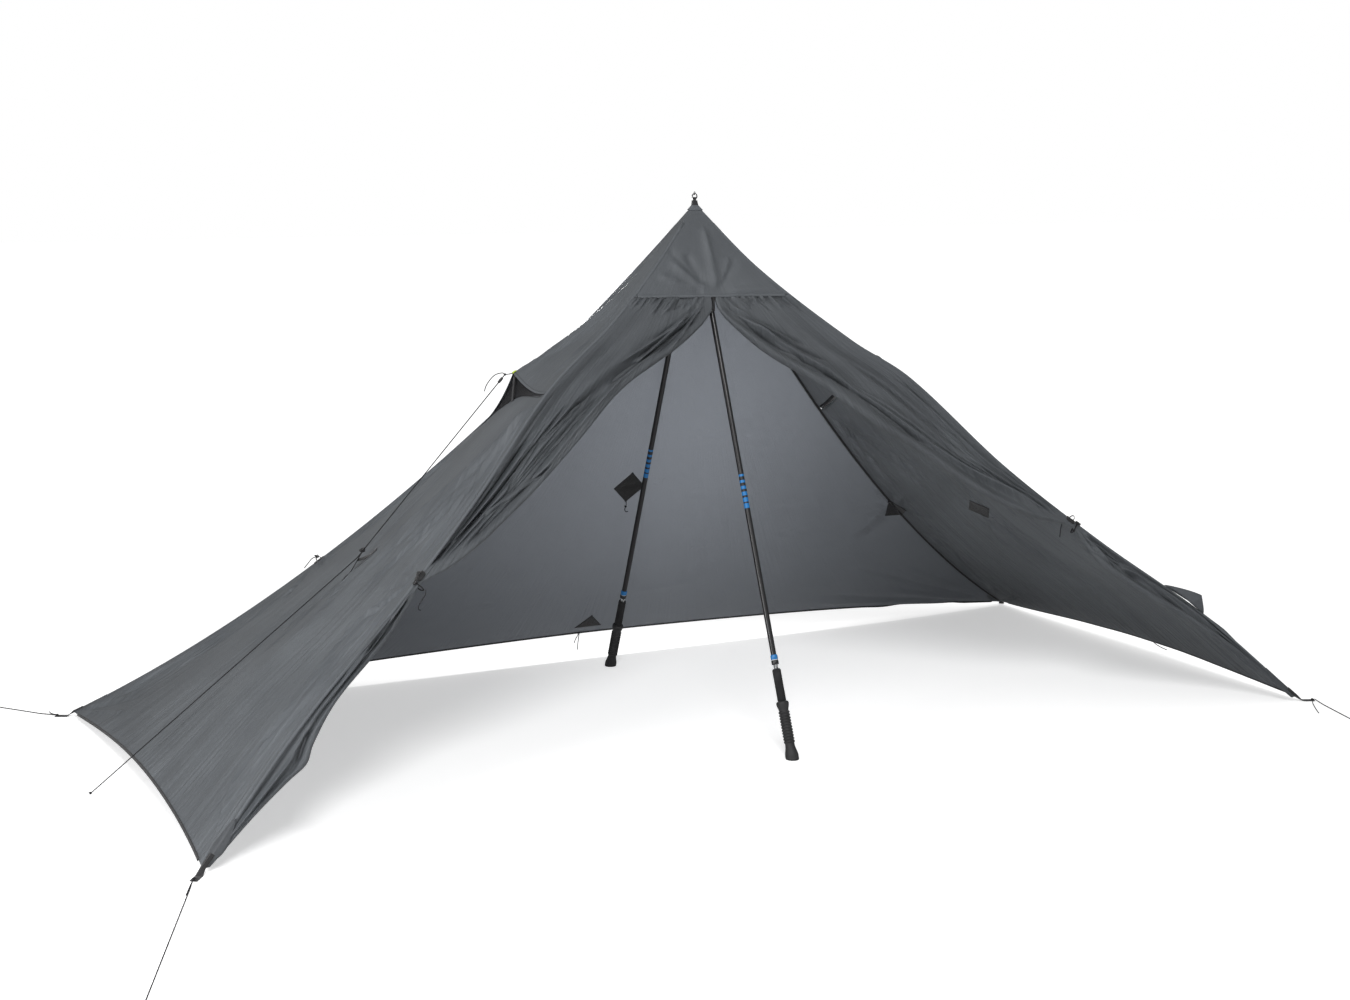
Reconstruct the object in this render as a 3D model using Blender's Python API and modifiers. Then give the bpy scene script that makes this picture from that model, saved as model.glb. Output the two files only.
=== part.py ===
"""Pyramid tarp with an open gathered door, two hooded side vents, tie-outs, guylines and trekking poles.

Metres, +Z up, the door towards -Y, the ground at z = 0, the peak above the origin.
"""

import math

import bmesh
import bpy
from mathutils import Matrix, Vector
from mathutils.bvhtree import BVHTree

# Canopy
PEAK_HEIGHT = 1.300
HALF_WIDTH = 1.450
HALF_DEPTH = 0.655
CORNER_HEIGHT = 0.012
CLOTH = 0.0008
GAP = 0.0003
EDGE_INSET = 0.0008
SEAM_STRIP = 0.007
CLOTH_TOP = 0.008
PEAK_TAUT = 0.045

# How far each ridge hangs below a straight line, as (share of the way down, share of the peak height)
FRONT_LEFT_SAG = [(0, 0), (0.10, 0.0185), (0.20, 0.0146), (0.345, -0.0185), (0.50, 0), (0.66, 0),
                  (0.84, -0.0169), (1, 0)]
FRONT_RIGHT_SAG = [(0, 0), (0.10, 0.0246), (0.25, 0.0169), (0.345, -0.0031), (0.50, 0.0185), (0.66, 0.0123),
                   (0.84, -0.0108), (1, 0)]
REAR_SAG = 0.100

# Swell and creases of the stretched cloth
SIDE_SWELL = 0.012
SIDE_CREASE = 0.010
REAR_SWELL = 0.020
REAR_MIDDLE_SWELL = 0.007
REAR_RIGHT_HOLLOW = 0.008
REAR_LEFT_HOLLOW = 0.006
FRONT_SWELL = 0.004

# Side vents
VENT_CORNER = 0.350
HOOD_EDGE = 0.340
HOOD_LIFT = 0.083
VENT_SILL = 0.0205
VENT_GAP = 0.0025
VENT_LIP = 0.020
STRUT_WIDTH = 0.012
STRUT_THICKNESS = 0.003
STRUT_SHOULDER = 0.003

# Hems and seams
SIDE_HEM_RISE = 0.022
REAR_HEM_RISE = 0.062
BINDING_DEPTH = 0.006
BINDING_THICKNESS = 0.002
HEM_END = 0.040
TAPE_WING = 0.0040
TAPE_THICKNESS = 0.0006
DOOR_TOP = 0.152

# Visible width of each gathered door half, as (share of the way down the ridge, share of the half width)
LEFT_FLAP = [(0.152, 0.1414), (0.21, 0.1724), (0.26, 0.1655), (0.35, 0.1324), (0.42, 0.1186),
             (0.555, 0.0717), (0.600, 0.0455), (0.622, 0.0152), (0.65, 0.0186), (0.72, 0.0303),
             (0.80, 0.0297), (0.863, 0.0455), (0.888, 0.0566), (0.905, 0.0469), (0.945, 0.0283),
             (1, 0.0110)]
RIGHT_FLAP = [(0.152, 0.1414), (0.20, 0.1759), (0.29, 0.1931), (0.35, 0.1848), (0.414, 0.1634),
              (0.46, 0.1310), (0.55, 0.1000), (0.60, 0.0552), (0.622, 0.0166), (0.65, 0.0248),
              (0.713, 0.0552), (0.78, 0.0538), (0.85, 0.0359), (0.91, 0.0179), (1, 0.0110)]
ROLL_RADIUS = 0.011
UPPER_FOLD = 0.016
LOWER_FOLD = 0.006
TURNED_BACK = 0.010

# Tie-outs, as shares of the way down
FRONT_TIE = 0.612
REAR_TIE = 0.600
SIDE_MID_TIE = 0.606
PATCH_THICKNESS = 0.0012
STRAP_WIDTH = 0.016
STRAP_THICKNESS = 0.0025

# Guylines: the pegs are placed from the canopy's own corners and from the middle of its side edges
CORD_RADIUS = 0.00125
FRONT_LEFT_PEG = (-0.250, -0.595)
REAR_LEFT_PEG = (-0.162, 0.181)
FRONT_RIGHT_PEG = (-0.013, -0.213)
LEFT_VENT_PEG = (-0.094, -0.026)
RIGHT_VENT_PEG = (0.110, -0.060)

# Poles, measured along the pole from the foot
POLE_FOOT = 0.7756 * HALF_DEPTH
POLE_PIVOT_Y = 0.012
CUP_BASE = PEAK_HEIGHT - 0.064
CUP_TOP = PEAK_HEIGHT - 0.038
POMMEL_RADIUS = 0.0160
POMMEL_SINK = 0.008
GRIP_RADIUS = 0.0115
FLARE_RADIUS = 1.32 * GRIP_RADIUS
RIB_DEPTH = 0.0022
RIB_COUNT = 11
RIBS_START = 0.038
RIBS_END = 0.116
GRIP_END = 0.140
FOAM_RADIUS = 0.0105
FOAM_END = 0.218
COLLAR_START = 0.228
COLLAR_END = 0.252
COLLAR_RADIUS = 0.0088
COLLAR_GROOVE = COLLAR_START + 0.0105
COLLAR_BORE = COLLAR_START + 0.014
TUBE_RADIUS = 0.0055
TUBE_FIT = 0.0004
SHAFT_RADIUS = 0.0068
FERRULE_LENGTH = 0.120
TIP_RADIUS = 0.0040
BUTTON_RADIUS = 0.0024
BUTTON_FIT = 0.0004
BUTTON_REACH = 0.0022

FRONT = ((-1, -1), (1, -1))
RIGHT = ((1, -1), (1, 1))
REAR = ((1, 1), (-1, 1))
LEFT = ((-1, 1), (-1, -1))
SIDE_FACET = {-1: LEFT, 1: RIGHT}


# Scene, materials and collections

for old in list(bpy.data.objects):
    bpy.data.objects.remove(old, do_unlink=True)

parts = bpy.data.collections.new("pyramid_tarp")
bpy.context.scene.collection.children.link(parts)


def material(name, colour, roughness, metallic=0.0):
    made = bpy.data.materials.new(name)
    made.use_nodes = True
    shader = made.node_tree.nodes["Principled BSDF"]
    shader.inputs["Base Color"].default_value = (*colour, 1.0)
    shader.inputs["Roughness"].default_value = roughness
    shader.inputs["Metallic"].default_value = metallic
    return made


CANOPY_CLOTH = material("canopy_cloth", (0.075, 0.085, 0.095), 0.55)
BLACK_TAPE = material("black_tape", (0.012, 0.012, 0.013), 0.8)
BLACK_WEBBING = material("black_webbing", (0.010, 0.010, 0.011), 0.7)
BLACK_MESH = material("black_mesh", (0.014, 0.014, 0.015), 0.85)
BLACK_CORD = material("black_cord", (0.012, 0.012, 0.012), 0.75)
BLACK_PLASTIC = material("black_plastic", (0.012, 0.012, 0.013), 0.4)
BLACK_RUBBER = material("black_rubber", (0.015, 0.015, 0.016), 0.65)
BLACK_FOAM = material("black_foam", (0.018, 0.018, 0.019), 0.9)
CARBON = material("carbon", (0.020, 0.021, 0.023), 0.25)
SILVER = material("silver", (0.60, 0.61, 0.62), 0.25, 1.0)


# Shape helpers

def smooth_curve(knots, t):
    """Value at t of a smooth curve through the knots."""
    last = len(knots) - 1
    i = 0
    while i < last - 1 and t > knots[i + 1][0]:
        i += 1

    def slope(k):
        before = knots[max(k - 1, 0)]
        after = knots[min(k + 1, last)]
        return (after[1] - before[1]) / (after[0] - before[0])

    (t0, v0), (t1, v1) = knots[i], knots[i + 1]
    span = t1 - t0
    u = (t - t0) / span
    u = min(max(u, 0.0), 1.0)
    start = (2 * u**3 - 3 * u**2 + 1) * v0 + (u**3 - 2 * u**2 + u) * span * slope(i)
    end = (-2 * u**3 + 3 * u**2) * v1 + (u**3 - u**2) * span * slope(i + 1)
    return start + end


def ease(low, high, value):
    """0 below low, 1 above high, smooth between."""
    u = min(max((value - low) / (high - low), 0.0), 1.0)
    return u * u * (3 - 2 * u)


def spread(low, high, count):
    """count + 1 even steps from low to high."""
    return [low + (high - low) * i / count for i in range(count + 1)]


def finish(obj, name, look, smooth=True):
    obj.name = name
    obj.data.name = name
    for other in list(obj.users_collection):
        other.objects.unlink(obj)
    parts.objects.link(obj)
    obj.data.materials.clear()
    obj.data.materials.append(look)
    if smooth:
        for face in obj.data.polygons:
            face.use_smooth = True
    return obj


def object_from_bmesh(mesh_maker):
    mesh = bpy.data.meshes.new("shape")
    mesh_maker.to_mesh(mesh)
    mesh_maker.free()
    obj = bpy.data.objects.new("shape", mesh)
    parts.objects.link(obj)
    return obj


def baked(obj):
    """The object with its modifiers made into mesh, faces turned outwards."""
    bpy.context.view_layer.update()
    graph = bpy.context.evaluated_depsgraph_get()
    mesh = bpy.data.meshes.new_from_object(obj.evaluated_get(graph))
    work = bmesh.new()
    work.from_mesh(mesh)
    bmesh.ops.remove_doubles(work, verts=work.verts, dist=1e-6)
    bmesh.ops.recalc_face_normals(work, faces=work.faces)
    work.to_mesh(mesh)
    work.free()
    obj.modifiers.clear()
    if obj.type == "MESH":
        obj.data = mesh
        return obj
    made = bpy.data.objects.new("shape", mesh)
    made.matrix_world = obj.matrix_world
    parts.objects.link(made)
    bpy.data.objects.remove(obj)
    return made


def sheet(name, rows, look, thickness=CLOTH):
    """Cloth of even thickness through rows of points, the first row at the top."""
    across = len(rows[0])
    down = len(rows)
    work = bmesh.new()
    bmesh.ops.create_grid(work, x_segments=across - 1, y_segments=down - 1, size=0.5)
    work.verts.ensure_lookup_table()
    for vert in work.verts:
        column = round((vert.co.x + 0.5) * (across - 1))
        row = round((0.5 - vert.co.y) * (down - 1))
        vert.co = rows[row][column]
    obj = object_from_bmesh(work)
    solid = obj.modifiers.new("thickness", "SOLIDIFY")
    solid.thickness = thickness
    solid.offset = 0.0
    return finish(baked(obj), name, look)


def loft(name, rings, look, smooth=True):
    """Closed body through rings of points, capped at both ends."""
    work = bmesh.new()
    loops = [[work.verts.new(point) for point in ring] for ring in rings]
    size = len(rings[0])
    for ring, following in zip(loops, loops[1:]):
        for i in range(size):
            j = (i + 1) % size
            work.faces.new((ring[i], ring[j], following[j], following[i]))
    work.faces.new(loops[0])
    work.faces.new(loops[-1])
    bmesh.ops.triangulate(work, faces=[f for f in work.faces if len(f.verts) > 4])
    bmesh.ops.recalc_face_normals(work, faces=work.faces)
    return finish(object_from_bmesh(work), name, look, smooth)


def lathe(name, profile, look, segments=20):
    """Turned body about +Z through (radius, height) points."""
    work = bmesh.new()
    verts = [work.verts.new((radius, 0.0, height)) for radius, height in profile]
    for first, second in zip(verts, verts[1:]):
        work.edges.new((first, second))
    obj = object_from_bmesh(work)
    turn = obj.modifiers.new("turn", "SCREW")
    turn.axis = "Z"
    turn.steps = segments
    turn.render_steps = segments
    turn.use_merge_vertices = True
    turn.merge_threshold = 0.00001
    return finish(baked(obj), name, look)


def tube(name, points, radius, look, resolution=2, closed=False):
    """Round cord through the points, with filled ends."""
    curve = bpy.data.curves.new("shape", "CURVE")
    curve.dimensions = "3D"
    curve.bevel_depth = radius
    curve.bevel_resolution = resolution
    curve.use_fill_caps = not closed
    spline = curve.splines.new("POLY")
    spline.points.add(len(points) - 1)
    for target, point in zip(spline.points, points):
        target.co = (*point, 1.0)
    spline.use_cyclic_u = closed
    obj = bpy.data.objects.new("shape", curve)
    parts.objects.link(obj)
    return finish(baked(obj), name, look)


def route(points, count):
    """Even points along a smooth curve through the route's own points."""
    found = []
    spans = len(points) - 1
    for i in range(spans):
        before = points[max(i - 1, 0)]
        start = points[i]
        end = points[i + 1]
        after = points[min(i + 2, spans)]
        for k in range(count):
            u = k / count
            a = 2 * start
            b = end - before
            c = 2 * before - 5 * start + 4 * end - after
            d = 3 * start - before - 3 * end + after
            found.append((a + b * u + c * u**2 + d * u**3) / 2)
    found.append(points[-1].copy())
    return found


def boolean(obj, cutter, operation="DIFFERENCE"):
    modifier = obj.modifiers.new("cut", "BOOLEAN")
    modifier.solver = "EXACT"
    modifier.operation = operation
    modifier.object = cutter
    baked(obj)
    bpy.data.objects.remove(cutter, do_unlink=True)


def ball(centre, radius, segments=16):
    work = bmesh.new()
    bmesh.ops.create_uvsphere(work, u_segments=segments, v_segments=segments // 2, radius=radius)
    bmesh.ops.translate(work, verts=work.verts, vec=centre)
    return object_from_bmesh(work)


def rod(centre, radius, length, axis, segments=16):
    work = bmesh.new()
    turn = Vector((0, 0, 1)).rotation_difference(axis).to_matrix().to_4x4()
    bmesh.ops.create_cone(work, cap_ends=True, segments=segments, radius1=radius, radius2=radius,
                          depth=length, matrix=Matrix.Translation(centre) @ turn)
    return object_from_bmesh(work)


def block(centre, size):
    work = bmesh.new()
    bmesh.ops.create_cube(work, size=1.0, matrix=Matrix.Translation(centre) @ Matrix.Diagonal((*size, 1.0)))
    return object_from_bmesh(work)


# Ridges and facets

def ridge_point(corner, t):
    """Point on a ridge, t = 0 at the peak and 1 at the corner."""
    side, end = corner
    if end > 0:
        sag = REAR_SAG * 4 * t * (1 - t)
    else:
        sag = smooth_curve(FRONT_LEFT_SAG if side < 0 else FRONT_RIGHT_SAG, t)
    height = CORNER_HEIGHT + (PEAK_HEIGHT - CORNER_HEIGHT) * (1 - t) - sag * PEAK_HEIGHT
    return Vector((side * HALF_WIDTH * t, end * HALF_DEPTH * t, height))


def ridge_share(corner, height):
    """Share of the way down the ridge at a height."""
    low, high = 0.0, 1.0
    for _ in range(40):
        middle = (low + high) / 2
        if ridge_point(corner, middle).z > height:
            low = middle
        else:
            high = middle
    return low


def facet_point(facet, t, s):
    """Point of the flat cloth between two ridges, s from -1 at the first ridge to 1 at the second."""
    return ridge_point(facet[0], t).lerp(ridge_point(facet[1], t), (s + 1) / 2)


def facet_half(facet, t):
    return max((ridge_point(facet[1], t) - ridge_point(facet[0], t)).length / 2, 1e-6)


def outward(surface, t, s):
    """Unit normal of a surface, away from the inside."""
    step = 0.002
    low_t = min(max(t, step), 1 - step)
    low_s = min(max(s, step - 1), 1 - step)
    down = surface(low_t + step, low_s) - surface(low_t - step, low_s)
    across = surface(low_t, low_s + step) - surface(low_t, low_s - step)
    return down.cross(across).normalized()


def flat_of(facet):
    return lambda t, s: facet_point(facet, t, s)


def fold(corner, t):
    """Ridge point, its direction down, and for the facets before and after it the normal and the way in."""
    step = 0.004
    point = ridge_point(corner, t)
    down = (ridge_point(corner, min(t + step, 1)) - ridge_point(corner, max(t - step, 0))).normalized()
    sides = []
    for facet in (FRONT, RIGHT, REAR, LEFT):
        if corner not in facet:
            continue
        s = -1 if facet[0] == corner else 1
        normal = outward(flat_of(facet), t, s)
        inward = normal.cross(down).normalized()
        if inward.dot(facet_point(facet, t, 0) - point) < 0:
            inward = -inward
        sides.append((normal, inward))
    return point, down, sides


def folded(corner, t, offset, reach=0.0, which=None):
    """Point of the ridge fold moved out by offset, and reach along one facet."""
    point, _, sides = fold(corner, t)
    (first, _), (second, _) = sides
    point = point + (first + second) * (offset / (1 + first.dot(second)))
    if which is not None:
        point = point + sides[which][1] * reach
    return point


def over_fold(corner, t, outer, inner, reach):
    """Section of a strip bent over a ridge: along its outer face and back along its inner one."""
    return [folded(corner, t, outer, reach, 0), folded(corner, t, outer), folded(corner, t, outer, reach, 1),
            folded(corner, t, inner, reach, 1), folded(corner, t, inner), folded(corner, t, inner, reach, 0)]


def ridge_strip(name, corner, shares, reaches, inner, outer, look):
    """Strip bent over a ridge between two offsets from the cloth's middle."""
    rings = [over_fold(corner, t, outer, inner, reach) for t, reach in zip(shares, reaches)]
    return loft(name, rings, look, smooth=False)


def columns(facet, t, count):
    """Places across a facet, with a narrow strip along each ridge."""
    half = facet_half(facet, t)
    edge = 1 - min(EDGE_INSET, half * 0.1) / half
    strip = 1 - min(SEAM_STRIP, half * 0.3) / half
    return [-edge] + spread(-strip, strip, count) + [edge]


# Cloth surfaces

def side_surface(side):
    """Lower side cloth, with the pull of the mid tie-out and the creases that run to it."""
    facet = SIDE_FACET[side]

    def crease(t, s, t0, s0, t1, s1, width, height):
        way = Vector((t1 - t0, s1 - s0))
        here = Vector((t - t0, s - s0))
        along = min(max(here.dot(way) / way.length_squared, 0.0), 1.0)
        away = (here - way * along).length
        ends = math.sin(math.pi * min(max(along, 0.04), 0.96))
        return height * ends * math.exp(-(away / width) ** 2)

    def surface(t, s):
        front = -side * s
        point = facet_point(facet, t, s)
        calm = (1 - s * s) ** 2
        lift = SIDE_SWELL * calm
        lift += calm * crease(t, front, 0.36, 0.80, 0.60, 0.02, 0.07, 1.2 * SIDE_CREASE)
        lift += calm * crease(t, front, 0.60, 0.00, 0.95, 0.45, 0.09, SIDE_CREASE)
        lift -= calm * crease(t, front, 0.42, -0.10, 0.92, -0.20, 0.12, 0.8 * SIDE_CREASE)
        lift += calm * crease(t, front, 0.36, -0.60, 0.60, -0.02, 0.08, 0.9 * SIDE_CREASE)
        return point + outward(flat_of(facet), t, s) * lift

    return surface


def side_hem(s):
    return 1 - SIDE_HEM_RISE * (1 - s * s)


def rear_hem(s):
    return 1 - REAR_HEM_RISE * (1 - abs(s) ** 3.5)


def hood_edge(s):
    return HOOD_EDGE + (VENT_CORNER - HOOD_EDGE) * s * s


def sill(s):
    return VENT_CORNER + VENT_GAP - VENT_SILL * (1 - s * s) ** 2


def hood_surface(side):
    facet = SIDE_FACET[side]

    def surface(t, s):
        spread_out = (1 - abs(s)) ** 2
        grown = (max(t - CLOTH_TOP, 0) / (HOOD_EDGE - CLOTH_TOP)) ** 2
        return facet_point(facet, t, s) + Vector((0, 0, HOOD_LIFT * spread_out * grown))

    return surface


def rear_surface(t, s):
    calm = (1 - s * s) ** 2 * ease(PEAK_TAUT, 2 * PEAK_TAUT, t)
    middle = math.exp(-((s / 0.16) ** 2))
    point = facet_point(REAR, t, s)
    along = math.sin(math.pi * t)
    lift = REAR_SWELL * calm * t + REAR_MIDDLE_SWELL * calm * middle * along
    lift -= REAR_RIGHT_HOLLOW * calm * math.exp(-(((s - 0.42) / 0.2) ** 2)) * along
    lift -= REAR_LEFT_HOLLOW * calm * math.exp(-(((s + 0.40) / 0.2) ** 2)) * along
    return point + outward(flat_of(REAR), t, s) * lift


def front_surface(t, s):
    calm = (1 - s * s) ** 2 * ease(PEAK_TAUT, 2 * PEAK_TAUT, t)
    share = t / DOOR_TOP
    lift = FRONT_SWELL * calm * math.sin(math.pi * share)
    return facet_point(FRONT, t, s) + outward(flat_of(FRONT), t, s) * lift


# Canopy cloth

UPPER_SHARES = [CLOTH_TOP, 0.030, 0.055, 0.085, 0.118, DOOR_TOP]
VENT_SHARES = spread(DOOR_TOP, VENT_CORNER, 6)
LOWER_SHARES = spread(VENT_CORNER, 1.0, 20)
RIDGE_SHARES = UPPER_SHARES + VENT_SHARES[1:] + LOWER_SHARES[1:]
SEAM_GAP = 0.0006
SIDE_COLUMNS = 10
REAR_COLUMNS = 9


def panel(name, facet, surface, shares, count, top=None, bottom=None):
    """Cloth of one facet, its rows meeting the ridges at the given shares."""
    first, last = shares[0], shares[-1]
    rows = []
    for share in shares:
        row = []
        for s in columns(facet, share, count):
            start = top(s) if top else first
            end = bottom(s) if bottom else last
            row.append(surface(start + (share - first) / (last - first) * (end - start), s))
        rows.append(row)
    return sheet(name, rows, CANOPY_CLOTH)


def flap_size(side, t):
    """Visible width of a gathered door half, and the radius of its rolled edge."""
    width = HALF_WIDTH * smooth_curve(LEFT_FLAP if side < 0 else RIGHT_FLAP, t)
    return width, min(ROLL_RADIUS, 0.2 * width) * (0.35 + 0.65 * ease(DOOR_TOP, 0.26, t))


def flap_section(side, t):
    """Points across one gathered door half: a folded front layer, a rolled edge and a layer turned back."""
    width, radius = flap_size(side, t)
    front_end = width - radius
    back_end = max(min(TURNED_BACK + 0.3 * width, front_end - 0.4 * TURNED_BACK), SEAM_STRIP)
    depth = UPPER_FOLD * ease(DOOR_TOP, 0.30, t) * (1 - ease(0.50, 0.60, t))
    depth += LOWER_FOLD * ease(0.66, 0.72, t) * (1 - ease(0.90, 1.0, t))
    lean = 1.0 if side < 0 else 0.75
    section = [(EDGE_INSET, 0.0), (SEAM_STRIP, 0.0)]
    for v in spread(0, 1, 8)[1:]:
        wave = 0.5 - 0.5 * math.cos(4 * math.pi * v**lean)
        section.append((SEAM_STRIP + (front_end - SEAM_STRIP) * v, -depth * wave))
    for angle in (45, 90, 135):
        turn = math.radians(angle)
        section.append((front_end + radius * math.sin(turn), radius * math.cos(turn) - radius))
    for v in spread(0, 1, 2):
        section.append((front_end + (back_end - front_end) * v, -2 * radius))
    half = facet_half(FRONT, t)
    points = []
    for reach, height in section:
        s = side * (1 - reach / half)
        points.append(facet_point(FRONT, t, s) + outward(flat_of(FRONT), t, s) * height)
    return points


def flap(name, side):
    shares = [DOOR_TOP + SEAM_GAP] + VENT_SHARES[1:] + LOWER_SHARES[1:] + [0.597, 0.622, 0.888]
    rows = [flap_section(side, share) for share in sorted(shares)]
    return sheet(name, rows, CANOPY_CLOTH)


SIDE_NAME = {-1: "left", 1: "right"}
END_NAME = {-1: "front", 1: "rear"}

cloth = {}
cloth["front"] = panel("front_upper_panel", FRONT, front_surface,
                       UPPER_SHARES[:-1] + [DOOR_TOP - SEAM_GAP], 6)
for side in (-1, 1):
    label = SIDE_NAME[side]
    facet = SIDE_FACET[side]
    cloth["flap", side] = flap(label + "_door_flap", side)
    cloth["hood", side] = panel(label + "_vent_hood", facet, hood_surface(side),
                                UPPER_SHARES + VENT_SHARES[1:], SIDE_COLUMNS, bottom=hood_edge)
    cloth["side", side] = panel(label + "_side_panel", facet, side_surface(side),
                                [VENT_CORNER + VENT_GAP] + LOWER_SHARES[1:], SIDE_COLUMNS,
                                top=sill, bottom=side_hem)
cloth["rear"] = panel("rear_panel", REAR, rear_surface, RIDGE_SHARES, REAR_COLUMNS, bottom=rear_hem)


# Seam tapes, door seam and hem bindings

CORNERS = [(-1, -1), (1, -1), (1, 1), (-1, 1)]
TAPE_OUTER = -(CLOTH / 2 + GAP)
COVER_INNER = CLOTH / 2 + GAP


def corner_label(corner):
    return END_NAME[corner[1]] + "_" + SIDE_NAME[corner[0]]


TAPE_SHARES = [share for share in RIDGE_SHARES if share > 0.05][:-1] + [0.99]
for corner in CORNERS:
    ridge_strip(corner_label(corner) + "_ridge_tape", corner, TAPE_SHARES, [TAPE_WING] * len(TAPE_SHARES),
                TAPE_OUTER - TAPE_THICKNESS, TAPE_OUTER, BLACK_TAPE)


def stations(places, surface):
    """Point, way down the cloth and normal at each (t, s) place."""
    found = []
    for t, s in places:
        step = 0.002
        here = surface(t, s)
        normal = outward(surface, t, s)
        down = here - surface(t - step, s)
        down = (down - normal * down.dot(normal)).normalized()
        found.append((here, down, normal))
    return found


def band(name, line, inner, outer, before, after, look):
    """Flat band along a line of stations, between two offsets and two distances down the cloth."""
    section = ((before, outer), (after, outer), (after, inner), (before, inner))
    rings = []
    for here, down, normal in line:
        rings.append([here + down * a + normal * b for a, b in section])
    return loft(name, rings, look, smooth=False)


SEAM_HALF = 0.0035
SEAM_COVER = 0.0009
seam_line = stations([(DOOR_TOP, s) for s in spread(-0.95, 0.95, 6)], flat_of(FRONT))
band("door_top_seam", seam_line, COVER_INNER, COVER_INNER + SEAM_COVER, -SEAM_HALF, SEAM_HALF,
     BLACK_TAPE)


def between(first, second, share):
    return tuple(a.lerp(b, share) for a, b in zip(first, second))


def hem_binding(name, facet, surface, hem, count):
    """Binding under a hem, ending short of both corners on the hem's own straight stretches."""
    line = stations([(hem(s), s) for s in columns(facet, 1.0, count)[1:-1]], surface)
    for _ in range(2):
        stretch = (line[1][0] - line[0][0]).length
        line[0] = between(line[0], line[1], (HEM_END - SEAM_STRIP) / stretch)
        line.reverse()
    half = BINDING_THICKNESS / 2
    start = CLOTH / 2 + GAP
    return band(name, line, -half, half, start, start + BINDING_DEPTH, BLACK_TAPE)


for side in (-1, 1):
    name = SIDE_NAME[side] + "_hem_binding"
    hem_binding(name, SIDE_FACET[side], side_surface(side), side_hem, SIDE_COLUMNS)
hem_binding("rear_hem_binding", REAR, rear_surface, rear_hem, REAR_COLUMNS)


# Side vents: mesh and prop strut

def tree_of(obj):
    return BVHTree.FromPolygons([v.co for v in obj.data.vertices], [p.vertices for p in obj.data.polygons])


def met(tree, origin, direction):
    """Where a ray first meets a body, and the normal there."""
    location, normal, _, _ = tree.ray_cast(origin, direction)
    return location, normal


SEAT = 0.0004
MESH_THICKNESS = 0.0006
MESH_SET_IN = 0.008
MESH_TUCK = 0.003
STRUT_SET_IN = 0.0035
STRUT_STEP_IN = 0.008
UP = Vector((0, 0, 1))
hood_tree = {side: tree_of(cloth["hood", side]) for side in (-1, 1)}
side_tree = {side: tree_of(cloth["side", side]) for side in (-1, 1)}
rear_tree = tree_of(cloth["rear"])


def under_hood(side, place):
    """Point just under the hood, straight above a place."""
    location, normal = met(hood_tree[side], Vector((place.x, place.y, PEAK_HEIGHT / 3)), UP)
    return location - UP * (SEAT / abs(normal.z))


def over_sill(side, place):
    """Point just above the lower side cloth, straight below a place."""
    location, normal = met(side_tree[side], Vector((place.x, place.y, PEAK_HEIGHT)), -UP)
    return location + UP * (SEAT / abs(normal.z))


def vent_mesh(side):
    surface = hood_surface(side)
    lower = side_surface(side)
    top, bottom = [], []
    for s in columns(SIDE_FACET[side], VENT_CORNER, SIDE_COLUMNS)[3:-3]:
        edge = surface(hood_edge(s), s)
        inside = (surface(hood_edge(s) - VENT_LIP, s) - edge).normalized()
        lean = Vector((side * MESH_THICKNESS / 2, 0, 0))
        above = min((under_hood(side, edge + inside * MESH_SET_IN + lean * way) for way in (-1, 1)),
                    key=lambda point: point.z)
        lip = lower(sill(s), s)
        down = (lower(sill(s) + VENT_LIP, s) - lip).normalized()
        below = max((over_sill(side, lip + down * MESH_TUCK + lean * way) for way in (-1, 1)),
                    key=lambda point: point.z)
        top.append(above)
        bottom.append(below)
    rows = [[a.lerp(b, k) for a, b in zip(top, bottom)] for k in spread(0, 1, 3)]
    return sheet(SIDE_NAME[side] + "_vent_mesh", rows, BLACK_MESH, MESH_THICKNESS)


def vent_strut(side):
    """Flat bar whose ends follow the hood above and the cloth below."""
    edge = hood_surface(side)(hood_edge(0), 0)
    foot = side_surface(side)(sill(0), 0)
    half = STRUT_WIDTH / 2
    slabs = []
    for y in (-half, 0.0, half):
        for thickness in (-0.5, 0.5):
            shift = side * STRUT_THICKNESS * thickness
            top = under_hood(side, Vector((edge.x - side * STRUT_SET_IN + shift, y, 0)))
            if y:
                top = top - UP * STRUT_SHOULDER
            low = over_sill(side, Vector((foot.x + side * STRUT_STEP_IN + shift, y, 0)))
            slabs.append((top, low))
    ring_order = [0, 2, 4, 5, 3, 1]
    rings = []
    for share in (0, 0.08, 0.3, 0.5, 0.7, 1):
        waist = 1 - 0.25 * math.sin(math.pi * share)
        thin = 0.35 + 0.65 * ease(0.0, 0.08, share)
        ring = []
        for i in ring_order:
            point = slabs[i][0].lerp(slabs[i][1], share)
            partner = slabs[i ^ 1][0].lerp(slabs[i ^ 1][1], share)
            point = (point + partner) / 2 + (point - partner) / 2 * thin
            point.y *= waist
            ring.append(point)
        rings.append(ring)
    return loft(SIDE_NAME[side] + "_vent_strut", rings, BLACK_PLASTIC, smooth=False)


for side in (-1, 1):
    vent_mesh(side)
    vent_strut(side)


# Peak: cap with a lug, ring, hanging loop and pole cup

LUG_HEIGHT = PEAK_HEIGHT + 0.0095
CAP_BOTTOM = PEAK_HEIGHT - 0.0195
CAP_SHOULDER = PEAK_HEIGHT - 0.0075
CAP_TOP = PEAK_HEIGHT + 0.0060
CAP_HALF = 0.0055
CAP_COVER = 0.0014
LUG_ROOT = 0.0033
LUG_OVER = 0.00475
LUG_THICKNESS = 0.0046
LUG_WIDTH = 0.0095
LUG_EYE = 0.0024
RING_RADIUS = 0.0065
RING_WIRE = 0.0015
LOOP_RADIUS = 0.0036
LOOP_STRAND = 0.0008
LOOP_LIFT = 0.0010


def corner_ring(height, offset):
    return [folded(corner, ridge_share(corner, height), offset) for corner in CORNERS]


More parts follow.
